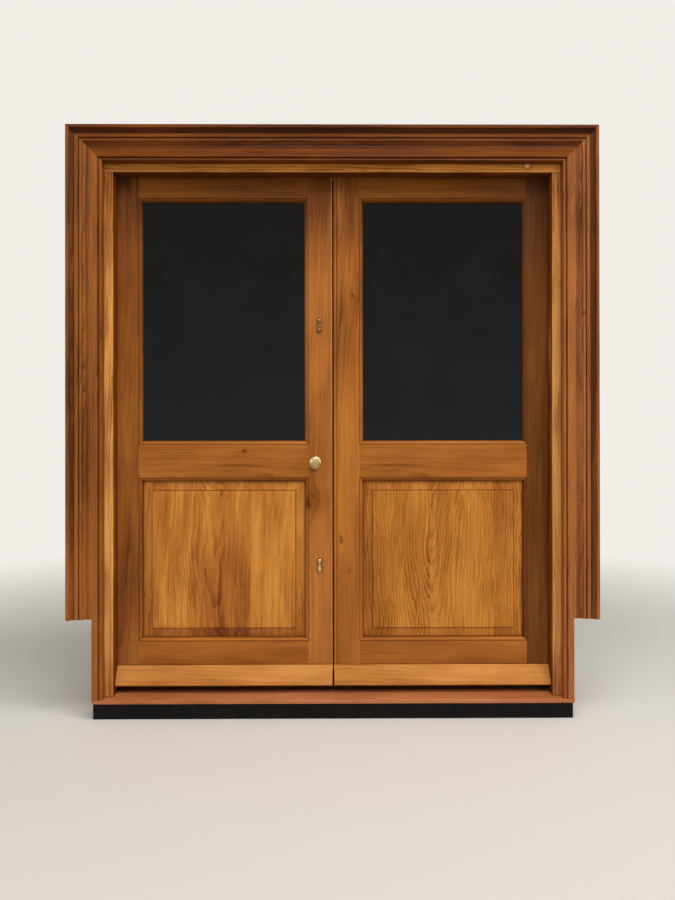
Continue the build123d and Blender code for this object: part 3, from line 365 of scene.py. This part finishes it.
dress(stained_oak("stained_oak_right_jamb", (0.94, 0.04, 1.2), UPRIGHT, "E2A05A", "C68444", "70380E",
                  figure=0.25, patches=0.9, streaks=1.3, moulding=reveal,
                  blooms=((0.85, 0.6, 0.3, 0.5, -0.15), (0.85, 2.06, 0.3, 0.14, 0.22),
                          (0.85, 1.4, 0.3, 0.25, -0.14), (0.85, 0.16, 0.3, 0.12, 0.3)),
                  knots=((0.872, -0.0475, 0.646, 0.01),),
                  spots=((0.821, -0.0475, 0.090, 0.012, GREY_DIRT),)), "right_jamb")

# Architrave
# A wide moulding planed from oak, mitred at the head and notched at the foot. Painted shade lies
# dark in its hollow, its quirks and its cove, and the fillet and the bead are left paler.

# Millimetres from the outer edge, and tone of the painted shade
profile_shade_tones = ((0, 0.14), (9, 0.14), (13, 0.34), (29, 0.5), (32, 0.02), (43, 0.0), (44, 0.4),
                  (48, 0.3), (50, 0.0), (55, 0.0), (57, 0.28), (61, 0.28), (63, 0.06), (66, 0.06),
                  (69, 0.28), (80, 0.26), (84, 0.02), (110, 0.0), (114, 0.3), (119, 0.3), (121, 0.0),
                  (126, 0.1))
leg_edge, head_edge, section_width = cad_box[1][0], cad_box[1][2], 0.128
# Painted shade: the head's colours are darker than the legs', for the shade that falls on it from above
dress(stained_oak("stained_oak_head_architrave", (-0.4, 0.06, 2.3), LEVEL, "9A5212", "7A3E0A", "421C04",
                  ring=7.0, figure=0.2, patches=0.4, nook_depth=0.005,
                  moulding=((0, 0, -1), -head_edge, section_width, profile_shade_tones)), "head_architrave")
dress(stained_oak("stained_oak_left_architrave", (-1.06, 0.05, 0.8), UPRIGHT, "B66C2E", "985824",
                  "522A0C", ring=7.0, figure=0.25, patches=0.5, nook_depth=0.005,
                  moulding=((1, 0, 0), -leg_edge, section_width, profile_shade_tones)), "left_architrave")
dress(stained_oak("stained_oak_right_architrave", (1.06, 0.06, 1.5), UPRIGHT, "BE763C", "A06030",
                  "562C10", ring=7.0, figure=0.25, patches=0.5, nook_depth=0.005,
                  moulding=((-1, 0, 0), -leg_edge, section_width, profile_shade_tones),
                  blooms=((0.97, 1.4, 0.03, 0.9, 0.12),),
                  knots=((0.898, -0.078, 1.968, 0.014), (0.937, -0.085, 1.518, 0.014))),
      "right_architrave")

# Sill
# A weathered oak sill with a rounded nose, redder and darker than the head and the jambs.
dress(stained_oak("stained_oak_sill", (0.2, 0.1, 0.02), LEVEL, "C47A50", "A86438", "6A3616"), "sill")

# Base strip
# A softwood packer under the sill, brushed with gloss black paint, which gives a dim wet-looking
# reflection that dust breaks up.
black, black_tree, black_paint, black_here = new_material("gloss_black_paint")
dust = add(black_tree, "ShaderNodeTexNoise", Vector=black_here, Scale=22.0, Detail=5.0,
           Roughness=0.6).outputs["Fac"]
dust = add(black_tree, "ShaderNodeMapRange", Value=dust, From_Min=0.5, From_Max=0.8, To_Min=0.0,
           To_Max=0.35).outputs[0]
black_tree.links.new(add(black_tree, "ShaderNodeMix", {"data_type": "RGBA"}, i0=dust,
                         i6=linear("0B0A0C"), i7=linear("2A2724")).outputs[2],
                     black_paint.inputs["Base Color"])
black_tree.links.new(add(black_tree, "ShaderNodeMapRange", Value=dust, From_Min=0.0, From_Max=0.35,
                         To_Min=0.22, To_Max=0.6).outputs[0], black_paint.inputs["Roughness"])
black_paint.inputs["Specular IOR Level"].default_value = 0.15
dress(black, "base_strip")


# Leaves: stiles and rails
# Mortised and tenoned oak with an ovolo stuck on the inner edges. Stiles show grain upright and
# rails level, each cut from a different board. Dirt and painted shade lie in the step round each
# moulding.
def step_round(node, margin, half_width=0.0015, strength=0.65, outside=0.0, colour="4E1C04"):
    """A line round a pane or panel, at a margin outside its hidden edges."""
    low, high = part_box(node)
    return ((low[0] + high[0]) / 2, (low[2] + high[2]) / 2, (high[0] - low[0]) / 2 + margin,
            (high[2] - low[2]) / 2 + margin, half_width, strength, outside, colour)


# Play of a pane or panel in its groove, whose bottom lies under the outer edge of the moulding
TONGUE_PLAY = 0.003
# Dark lines round each pane and panel at the step of the moulding: dirt and painted shade
quirks = {hand: (step_round(f"{hand}_outer_pane", TONGUE_PLAY),
                 step_round(f"{hand}_panel", TONGUE_PLAY)) for hand in ("left", "right")}
# Painted highlight: a pale line along the arris of the left meeting edge, drawn as the right side of a
# tall rectangle
arris_highlight = (-0.4215, 1.08, 0.4165, 1.2, 0.0012, 0.55, 0.0, "D49A6C")
# Painted shade: in each stile the bloom at z 2.07 to 2.09 darkens its top, for the shadow of the head
dress(stained_oak("stained_oak_left_hinge_stile", (-0.82, 0.08, 0.4), UPRIGHT, "AC6C2C", "8E5220",
                  "50280A", figure=0.15, patches=0.7, lines=quirks["left"],
                  blooms=((-0.79, 2.07, 0.5, 0.3, 0.3),)), "left_hinge_stile")
# Painted shade: the right hinge stile's colours are darker than the left's, for the shade of the right
# reveal
dress(stained_oak("stained_oak_right_hinge_stile", (0.84, 0.09, 0.8), UPRIGHT, "8A5220", "6E3E16",
                  "442208", figure=0.15, patches=0.6, lines=quirks["right"],
                  blooms=((0.79, 2.07, 0.5, 0.3, 0.25),)), "right_hinge_stile")
dress(stained_oak("stained_oak_left_meeting_stile", (-0.12, 0.09, 0.9), UPRIGHT, "C47A36", "A66228",
                  "64340C", figure=0.15, patches=0.7, lines=quirks["left"] + (arris_highlight,),
                  blooms=((-0.05, 2.09, 0.5, 0.3, 0.4), (-0.05, 1.15, 0.3, 0.3, -0.15),
                          # Painted shadow of the knob: the small bloom at z 0.942
                          (-0.06, 0.82, 0.06, 0.06, 0.2), (-0.08, 0.942, 0.026, 0.018, 0.3)),
                  knots=((-0.098, 0.003, 0.808, 0.024), (-0.075, 0.003, 0.83, 0.012))),
      "left_meeting_stile")
dress(stained_oak("stained_oak_right_meeting_stile", (0.0, 0.08, 1.3), UPRIGHT, "C27832", "A66226",
                  "64340C", figure=0.15, patches=0.7, lines=quirks["right"], nook_depth=0.003,
                  blooms=((0.05, 2.09, 0.5, 0.32, 0.4), (0.05, 1.2, 0.3, 0.35, -0.12)),
                  knots=((0.030, 0.003, 0.664, 0.014), (0.061, 0.003, 0.543, 0.011),
                         (0.076, 0.003, 1.610, 0.012))), "right_meeting_stile")
for hand, sign, mark in (("left", -1, ((-0.343, 0.003, 1.007, 0.012),)), ("right", 1, ())):
    # Painted shade: the top rails' colours are darker than the other rails', for the shadow of the head
    dress(stained_oak(f"stained_oak_{hand}_top_rail", (sign * 0.5, 0.09, 2.10), LEVEL,
                      "985818", "7C4610", "4E2808", figure=0.15, patches=0.7, lines=quirks[hand]),
          f"{hand}_top_rail")
    dress(stained_oak(f"stained_oak_{hand}_lock_rail", (sign * 0.3, 0.08, 0.90), LEVEL,
                      "BC7230", "A26024", "66380C", figure=0.2, patches=0.8, knots=mark,
                      lines=quirks[hand]), f"{hand}_lock_rail")
    dress(stained_oak(f"stained_oak_{hand}_bottom_rail", (sign * 0.6, 0.09, 0.12), LEVEL,
                      "B86E2A", "9C5A20", "62340A", figure=0.15, patches=0.9, lines=quirks[hand]),
          f"{hand}_bottom_rail")
    dress(stained_oak(f"stained_oak_{hand}_glazing_beads", (sign * 0.4, 0.1, 1.6), UPRIGHT,
                      "B8743A", "A0622A", "66380F", figure=0.1), f"{hand}_glazing_beads")

# Leaves: raised and fielded panels
# Oak staves glued edge to edge, so the grain changes from stave to stave, with a broad figure.
# The left one has a dark flame of heartwood, the right one nested points that run downwards.

# From the hidden edge of a panel to its field. The line there is dirt and painted shade, and the bevels
# outside it are darkened as painted shade
FIELD_INSET = 0.046
field = {hand: (step_round(f"{hand}_panel", -FIELD_INSET, 0.0014, 0.8, bevel_shade, "56200A"),)
         for hand, bevel_shade in (("left", 0.2), ("right", 0.08))}
dress(stained_oak("stained_oak_left_panel", (-0.44, 0.15, 0.7), (3.0, 1.5, 0), "DA923E", "B86E2C",
                  "6E3410", ring=8.0, figure=0.35, patches=0.9, swirl=1.4, streaks=1.5,
                  staves=((-0.424, 0.05), (-0.32, -0.22)),
                  blooms=((-0.41, 0.43, 0.13, 0.24, 0.34), (-0.60, 0.78, 0.12, 0.12, 0.08),
                          (-0.42, 0.29, 0.4, 0.04, 0.2), (-0.67, 0.43, 0.06, 0.15, 0.26)),
                  knots=((-0.729, 0.017, 0.451, 0.006),), lines=field["left"]), "left_panel")
dress(stained_oak("stained_oak_right_panel", (0.475, 0.14, 0.7), (8.0, 1.0, 0), "D28A38", "AE6826",
                  "6C360E", ring=10.0, figure=0.6, patches=0.7, swirl=2.6, streaks=1.1,
                  staves=((0.375, 0.0), (0.62, 0.06)),
                  blooms=((0.25, 0.45, 0.12, 0.25, 0.12), (0.5, 0.6, 0.1, 0.3, -0.06),
                          (0.14, 0.56, 0.07, 0.7, 0.16), (0.73, 0.56, 0.05, 0.7, -0.12),
                          (0.43, 0.72, 0.07, 0.14, -0.15), (0.3, 0.74, 0.05, 0.12, 0.1)),
                  lines=field["right"]), "right_panel")

# Leaves: weatherboards
# Sloping oak boards planted on the foot of each leaf, paler and newer-looking than its rails.
for hand, sign in (("left", -1), ("right", 1)):
    dress(stained_oak(f"stained_oak_{hand}_weatherboard", (sign * 0.35, 0.03, 0.05), LEVEL,
                      "D8904A", "BE7836", "8A4E1C", figure=0.2), f"{hand}_weatherboard")

# Glass
# Sealed double glazing of faintly wavy float glass. Its near-black colour is painted shade for the dark
# room behind it.
# Smears make it rougher in cloudy patches, and those patches and a paler blue-grey towards its foot are
# painted reflection.
glass, glass_tree, pane, glass_here = new_material("float_glass_dark")
wave = add(glass_tree, "ShaderNodeTexNoise", Vector=glass_here, Scale=3.0, Detail=1.0).outputs["Fac"]
glass_tree.links.new(add(glass_tree, "ShaderNodeBump", Strength=0.05, Distance=0.001,
                         Height=wave).outputs[0], pane.inputs["Normal"])
smear_and_reflection = add(glass_tree, "ShaderNodeTexNoise", Vector=glass_here, Scale=4.0, Detail=5.0,
            Roughness=0.6).outputs["Fac"]
# Painted reflection: paler towards the foot of the pane and darker towards its head
pane_height = add(glass_tree, "ShaderNodeSeparateXYZ", Vector=glass_here).outputs[2]
pane_height = add(glass_tree, "ShaderNodeMapRange", Value=pane_height, From_Min=1.05, From_Max=1.95,
                  To_Min=0.35, To_Max=-0.3).outputs[0]
smear_and_reflection = add(glass_tree, "ShaderNodeMath", {"operation": "ADD"}, i0=smear_and_reflection, i1=pane_height).outputs[0]
smear_and_reflection = add(glass_tree, "ShaderNodeMapRange", Value=smear_and_reflection, From_Min=0.3, From_Max=0.9,
            To_Min=0.0, To_Max=1.0).outputs[0]
glass_tree.links.new(add(glass_tree, "ShaderNodeMapRange", Value=smear_and_reflection, To_Min=0.01,
                         To_Max=0.07).outputs[0], pane.inputs["Roughness"])
glass_tree.links.new(add(glass_tree, "ShaderNodeMix", {"data_type": "RGBA"}, i0=smear_and_reflection,
                         i6=linear("050404"), i7=linear("2A2D37")).outputs[2],
                     pane.inputs["Base Color"])
pane.inputs["Transmission Weight"].default_value = 0.75
pane.inputs["IOR"].default_value = 1.3
pane.inputs["Specular IOR Level"].default_value = 0.2
dress(glass, "left_outer_pane", "left_inner_pane", "right_outer_pane", "right_inner_pane")


# Spacer bars
# Folded aluminium between the panes, left as it comes from the mill: a soft grey shine.
def metal(name, bright, dull, rough_low, rough_high, patch=35.0, line=900.0, recess="2E1C08"):
    """Solid metal with slow patches of tarnish, fine marks from polishing, and dirt and painted shade
    in its recesses.
    patch and line are noise scales, in features to the metre."""
    material, tree, shader, here = new_material(name)
    tarnish = add(tree, "ShaderNodeTexNoise", Vector=here, Scale=patch, Detail=5.0,
                  Roughness=0.6).outputs["Fac"]
    tarnish = add(tree, "ShaderNodeMapRange", Value=tarnish, From_Min=0.35, From_Max=0.7,
                  To_Min=0.0, To_Max=1.0).outputs[0]
    colour = add(tree, "ShaderNodeMix", {"data_type": "RGBA"}, i0=tarnish, i6=linear(bright),
                 i7=linear(dull)).outputs[2]
    # Dirt and painted shade: the colour darkens towards the recess colour in corners that nearby
    # surfaces occlude
    nook = add(tree, "ShaderNodeAmbientOcclusion", {"samples": 8}, Distance=0.0025).outputs["AO"]
    nook = add(tree, "ShaderNodeMapRange", Value=nook, From_Min=0.3, From_Max=0.85, To_Min=0.9,
               To_Max=0.0).outputs[0]
    tree.links.new(add(tree, "ShaderNodeMix", {"data_type": "RGBA"}, i0=nook, i6=colour,
                       i7=linear(recess)).outputs[2], shader.inputs["Base Color"])
    tree.links.new(add(tree, "ShaderNodeMapRange", Value=tarnish, To_Min=rough_low,
                       To_Max=rough_high).outputs[0], shader.inputs["Roughness"])
    marks = add(tree, "ShaderNodeTexNoise", Vector=here, Scale=line, Detail=2.0).outputs["Fac"]
    tree.links.new(add(tree, "ShaderNodeBump", Strength=0.06, Distance=0.0002,
                       Height=marks).outputs[0], shader.inputs["Normal"])
    shader.inputs["Metallic"].default_value = 1.0
    return material


dress(metal("mill_aluminium", "B0B0B2", "9A9A9C", 0.35, 0.55, recess="404042"), "left_spacer_bar",
      "right_spacer_bar")

# Draught seals and meeting strips
# Extruded rubber, matt and red-brown to go with the stain. A thin fin on the strip of the left
# leaf closes the 0.4 mm left between the two strips, and the real one bends as a leaf opens.
rubber, rubber_tree, rubber_skin, rubber_here = new_material("extruded_rubber")
mottle = add(rubber_tree, "ShaderNodeTexNoise", Vector=rubber_here, Scale=60.0,
             Detail=4.0).outputs["Fac"]
rubber_tree.links.new(add(rubber_tree, "ShaderNodeMix", {"data_type": "RGBA"}, i0=mottle,
                          i6=linear("4C1206"), i7=linear("58190A")).outputs[2],
                      rubber_skin.inputs["Base Color"])
rubber_skin.inputs["Roughness"].default_value = 0.85
rubber_skin.inputs["Specular IOR Level"].default_value = 0.03
dress(rubber, "head_seal", "left_jamb_seal", "right_jamb_seal", "left_meeting_strip",
      "right_meeting_strip")

# The fin lies just outside the two strips, laps both of them and runs past their ends
strip_low, strip_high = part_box("left_meeting_strip")
fin_lap, fin_tip, fin_thickness, fin_clear = 0.002, 0.0012, 0.0004, 0.0001
below_strip, above_strip = 0.004, 0.0026
fin_root, fin_y = strip_high[0] - fin_lap, strip_low[1] - fin_clear - fin_thickness / 2
fin_foot, fin_head = strip_low[2] - below_strip, strip_high[2] + above_strip
bpy.ops.object.select_all(action="DESELECT")
bpy.ops.mesh.primitive_plane_add(size=1.0, location=((fin_root + fin_tip) / 2, fin_y, fin_foot))
fin = bpy.context.object
fin.name = "meeting_fin"
fin.scale = (fin_tip - fin_root, fin_thickness, 1.0)
bpy.ops.object.transform_apply(location=True, rotation=False, scale=True)
bpy.ops.object.mode_set(mode="EDIT")
bpy.ops.mesh.select_all(action="SELECT")
bpy.ops.mesh.extrude_region_move(TRANSFORM_OT_translate={"value": (0, 0, fin_head - fin_foot)})
bpy.ops.mesh.select_all(action="SELECT")
bpy.ops.mesh.normals_make_consistent(inside=False)
bpy.ops.object.mode_set(mode="OBJECT")
rounding = fin.modifiers.new("rounded_edges", "BEVEL")
rounding.width, rounding.segments = fin_thickness * 0.35, 2
bpy.ops.object.modifier_apply(modifier="rounded_edges")
fin.data.materials.append(rubber)
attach(fin, "left_leaf")

# Knob and roses
# Turned brass, once polished and now dulled to a pale satin by hands and weather.
satin_knob = metal("handled_brass", "DABE90", "AC9060", 0.28, 0.4)
dress(satin_knob, "outside_knob", "inside_knob", "knob_roses")

# Escutcheons and keyhole covers
# Cast brass plates with a swinging cover, aged brown. The lower cover is rubbed bright by use.
aged_brass = metal("aged_brass", "A87C56", "543418", 0.3, 0.55, patch=200.0)
rubbed_brass = metal("rubbed_brass", "F0CFA0", "B08850", 0.2, 0.36, patch=120.0)
dress(aged_brass, "upper_escutcheon", "lower_escutcheon", "upper_keyhole_cover", "inside_escutcheons")
dress(rubbed_brass, "lower_keyhole_cover")

# Latch, locks, keeps and flush bolts
# Milled brass forends, keeps and bolts, lightly lacquered; pressed and zinc-plated steel cases.
brass = metal("lacquered_brass", "CFA464", "A47C44", 0.28, 0.45)
plated = metal("zinc_plated_steel", "B4B2AC", "8E8C86", 0.3, 0.5, recess="3A3834")
dress(brass, "latch_bolt", "upper_deadbolt", "lower_deadbolt", "lock_keeps", "flush_bolt_plates",
      "top_flush_bolt", "bottom_flush_bolt", "flush_bolt_keeps")
dress(plated, "latch_case", "deadlock_cases", "spindle")

# Butt hinges
# Pressed zinc-plated steel flaps on loose pins.
dress(plated, "left_frame_flaps", "right_frame_flaps", "left_hinge_flaps", "right_hinge_flaps",
      "hinge_pins")

# Water bar
# Rolled bronze strip let into the sill, weathered to a dull brown and made near black as well, as
# painted shade for the gap under the weatherboards.
dress(metal("weathered_bronze_and_shade", "3E2A18", "241608", 0.5, 0.7), "water_bar")


# Screws
# Slotted countersunk screws that hold hinges, forends, keeps, flush bolts and roses: zinc-plated
# steel in the hinges and brass elsewhere. Each head stands a tenth of a millimetre proud.
HEAD_STAND, SLOT_FLOOR, HEAD_SUNK = 0.0001, 0.00002, 0.001
# Shares of the radius of a head: its sunk end, the bevel of its rim and its slot
SUNK_SHARE, RIM_SHARE, SLOT_SHARE = 0.6, 0.08, 0.26
# The slot floors get a near-black finish: dirt, and painted shade for the depth of the slot
slot_dirt_and_shade = metal("slot_dirt_and_shade", "241A10", "140E08", 0.7, 0.9)


def select_faces(piece, wanted):
    """In edit mode, select just the faces for which wanted(face) is true."""
    bpy.ops.mesh.select_all(action="DESELECT")
    bpy.ops.object.mode_set(mode="OBJECT")
    for face in piece.data.polygons:
        face.select = wanted(face)
    bpy.ops.object.mode_set(mode="EDIT")


def screw_head(name, radius, finish):
    """One slotted head, modelled about the origin with its face towards +Z."""
    bpy.ops.object.select_all(action="DESELECT")
    bpy.ops.mesh.primitive_cylinder_add(vertices=24, radius=radius, depth=HEAD_SUNK,
                                        location=(0, 0, -HEAD_SUNK / 2))
    head = bpy.context.object
    head.name = name
    bpy.ops.object.transform_apply(location=True, rotation=False, scale=False)
    bpy.ops.object.mode_set(mode="EDIT")
    bpy.ops.mesh.select_mode(type="FACE")
    select_faces(head, lambda face: face.normal.z < -0.9)
    bpy.ops.transform.resize(value=(SUNK_SHARE, SUNK_SHARE, 1.0))
    select_faces(head, lambda face: face.normal.z > 0.9)
    bpy.ops.mesh.inset(thickness=radius * RIM_SHARE)
    bpy.ops.transform.translate(value=(0, 0, HEAD_STAND))
    bpy.ops.object.mode_set(mode="OBJECT")
    bpy.ops.mesh.primitive_cube_add(size=1.0, location=(0, 0, SLOT_FLOOR + HEAD_STAND),
                                    scale=(radius * 3, radius * SLOT_SHARE, HEAD_STAND * 2))
    cutter = bpy.context.object
    bpy.ops.object.select_all(action="DESELECT")
    head.select_set(True)
    bpy.context.view_layer.objects.active = head
    slot = head.modifiers.new("slot", "BOOLEAN")
    slot.operation, slot.object = "DIFFERENCE", cutter
    bpy.ops.object.modifier_apply(modifier="slot")
    bpy.data.objects.remove(cutter)
    head.data.materials.clear()
    head.data.materials.append(finish)
    head.data.materials.append(slot_dirt_and_shade)
    for face in head.data.polygons:
        floor_face = face.normal.z > 0.9 and abs(face.center.z - SLOT_FLOOR) < HEAD_STAND / 10
        face.material_index = 1 if floor_face else 0
    return head


def fix(name, master, places, facing, body):
    """Copies of a fastener at each place, turned to face a direction, joined and riding on a body.
    Each slot stops at its own angle, in degrees, as a real one does."""
    first_angle, next_angle = 25, 47
    copies = []
    for index, place in enumerate(places):
        copy = master.copy()
        copy.data = master.data.copy()
        scene.collection.objects.link(copy)
        spin = Quaternion((0, 0, 1), math.radians(first_angle + next_angle * index))
        copy.rotation_euler = (Vector(facing).to_track_quat("Z", "Y") @ spin).to_euler()
        copy.location = place
        copies.append(copy)
    bpy.ops.object.select_all(action="DESELECT")
    for copy in copies:
        copy.select_set(True)
    bpy.context.view_layer.objects.active = copies[0]
    bpy.ops.object.transform_apply(location=True, rotation=True, scale=True)
    bpy.ops.object.join()
    group = bpy.context.object
    group.name = name
    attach(group, body)


steel_screw = screw_head("steel_screw", 0.0042, plated)
brass_screw = screw_head("brass_screw", 0.0034, brass)
small_screw = screw_head("small_brass_screw", 0.0024, brass)
flap_low, flap_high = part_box("left_hinge_flaps")
pin_head_radius, flap_gap, half_flap = 0.004, 0.0003, 0.05
pivot_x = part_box("hinge_pins")[1][0] - pin_head_radius
levels = (flap_low[2] + half_flap, (flap_low[2] + flap_high[2]) / 2, flap_high[2] - half_flap)
# Y of each screw, and its height from the middle of its flap
zigzag = ((0.021, 0.036), (0.037, 0.013), (0.021, -0.013), (0.037, -0.036))
for hand, sign in (("left", -1), ("right", 1)):
    for part, body, side in (("leaf", f"{hand}_leaf", 1), ("frame", "frame", -1)):
        face_x = sign * (pivot_x - side * flap_gap / 2)
        fix(f"{hand}_{part}_hinge_screws", steel_screw,
            [(face_x, y, level + z) for level in levels for y, z in zigzag],
            (sign * side, 0, 0), body)

# Each bolt with the height of its middle and how far above and below that its screws lie
edge_y = sum(corner[1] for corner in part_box("latch_bolt")) / 2
bolt_levels = [(node, sum(corner[2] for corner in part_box(node)) / 2, reach) for node, reach in
               (("latch_bolt", 0.022), ("upper_deadbolt", 0.042), ("lower_deadbolt", 0.042))]
screw_levels = [level + side * reach for node, level, reach in bolt_levels for side in (-1, 1)]
forend_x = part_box("latch_case")[1][0]
fix("forend_screws", brass_screw, [(forend_x, edge_y, z) for z in screw_levels], (1, 0, 0),
    "left_leaf")
fix("keep_screws", brass_screw, [(-forend_x, edge_y, z) for z in screw_levels], (-1, 0, 0),
    "right_leaf")
# Screws of a flush-bolt plate, measured from the end of the plate at the head or the foot
plate_low, plate_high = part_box("flush_bolt_plates")
plate_marks = (0.012, 0.09, 0.188)
fix("flush_bolt_screws", brass_screw,
    [(plate_low[0], edge_y, plate_low[2] + mark) for mark in plate_marks] +
    [(plate_low[0], edge_y, plate_high[2] - mark) for mark in plate_marks],
    (-1, 0, 0), "right_leaf")
keep_low, keep_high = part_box("flush_bolt_keeps")
keep_x, keep_reach, keep_thickness = (keep_low[0] + keep_high[0]) / 2, 0.0088, 0.003
for name, level, up in (("top_keep_screws", keep_high[2] - keep_thickness, -1),
                        ("bottom_keep_screws", keep_low[2] + keep_thickness, 1)):
    fix(name, small_screw, [(keep_x + side * keep_reach, edge_y, level) for side in (-1, 1)],
        (0, 0, up), "frame")
rose_low, rose_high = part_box("knob_roses")
rose_x, rose_z = (rose_low[0] + rose_high[0]) / 2, (rose_low[2] + rose_high[2]) / 2
ring_radius = 0.0165
ring = [(rose_x + ring_radius * math.cos(math.radians(angle)),
         rose_z + ring_radius * math.sin(math.radians(angle))) for angle in (90, 210, 330)]
for name, face_y, turned in (("outside_rose_screws", rose_low[1], -1),
                             ("inside_rose_screws", rose_high[1], 1)):
    fix(name, small_screw, [(x, face_y, z) for x, z in ring], (0, turned, 0), "left_leaf")

# Escutcheon pins
# Round-headed brass pins, driven through the corners of each outside plate and the ends of each
# inside one.
pin_radius, pin_depth, pin_rounding = 0.0011, 0.0012, 0.0005
bpy.ops.object.select_all(action="DESELECT")
bpy.ops.mesh.primitive_cylinder_add(vertices=16, radius=pin_radius, depth=pin_depth,
                                    location=(0, 0, 0))
pin_head = bpy.context.object
pin_head.name = "round_headed_pin"
bpy.ops.object.mode_set(mode="EDIT")
bpy.ops.mesh.select_mode(type="FACE")
select_faces(pin_head, lambda face: face.normal.z > 0.9)
bpy.ops.mesh.bevel(offset=pin_rounding, offset_type="OFFSET", segments=3, affect="EDGES")
bpy.ops.object.mode_set(mode="OBJECT")
bpy.ops.object.shade_smooth_by_angle(angle=math.radians(50))
pin_head.data.materials.clear()
pin_head.data.materials.append(aged_brass)
# Pins of an outside plate: how far from its middle line and above the middle of its bolt. Their
# middles lie pin_stand from its back, so that they stand 0.2 mm proud of its 2 mm thickness.
# Those of an inside plate are inside_reach above and below its middle, which is plate_drop below
# the bolt
corner_pins = ((0.0096, 0.0182), (0.0104, -0.0192))
pin_stand, plate_drop, inside_reach = 0.0016, 0.012, 0.0168
for node, level, _ in bolt_levels[1:]:
    name = node.replace("deadbolt", "pins")
    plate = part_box(name.replace("pins", "escutcheon"))
    middle_x, plate_y = (plate[0][0] + plate[1][0]) / 2, plate[1][1] - pin_stand
    fix(f"{name}_outside", pin_head,
        [(middle_x + side * across, plate_y, level + up)
         for across, up in corner_pins for side in (-1, 1)],
        (0, -1, 0), "left_leaf")
    inner_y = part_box("inside_escutcheons")[1][1]
    fix(f"{name}_inside", pin_head,
        [(middle_x, inner_y, level - plate_drop + side * inside_reach) for side in (-1, 1)],
        (0, 1, 0), "left_leaf")
for master in (steel_screw, brass_screw, small_screw, pin_head):
    bpy.data.objects.remove(master)
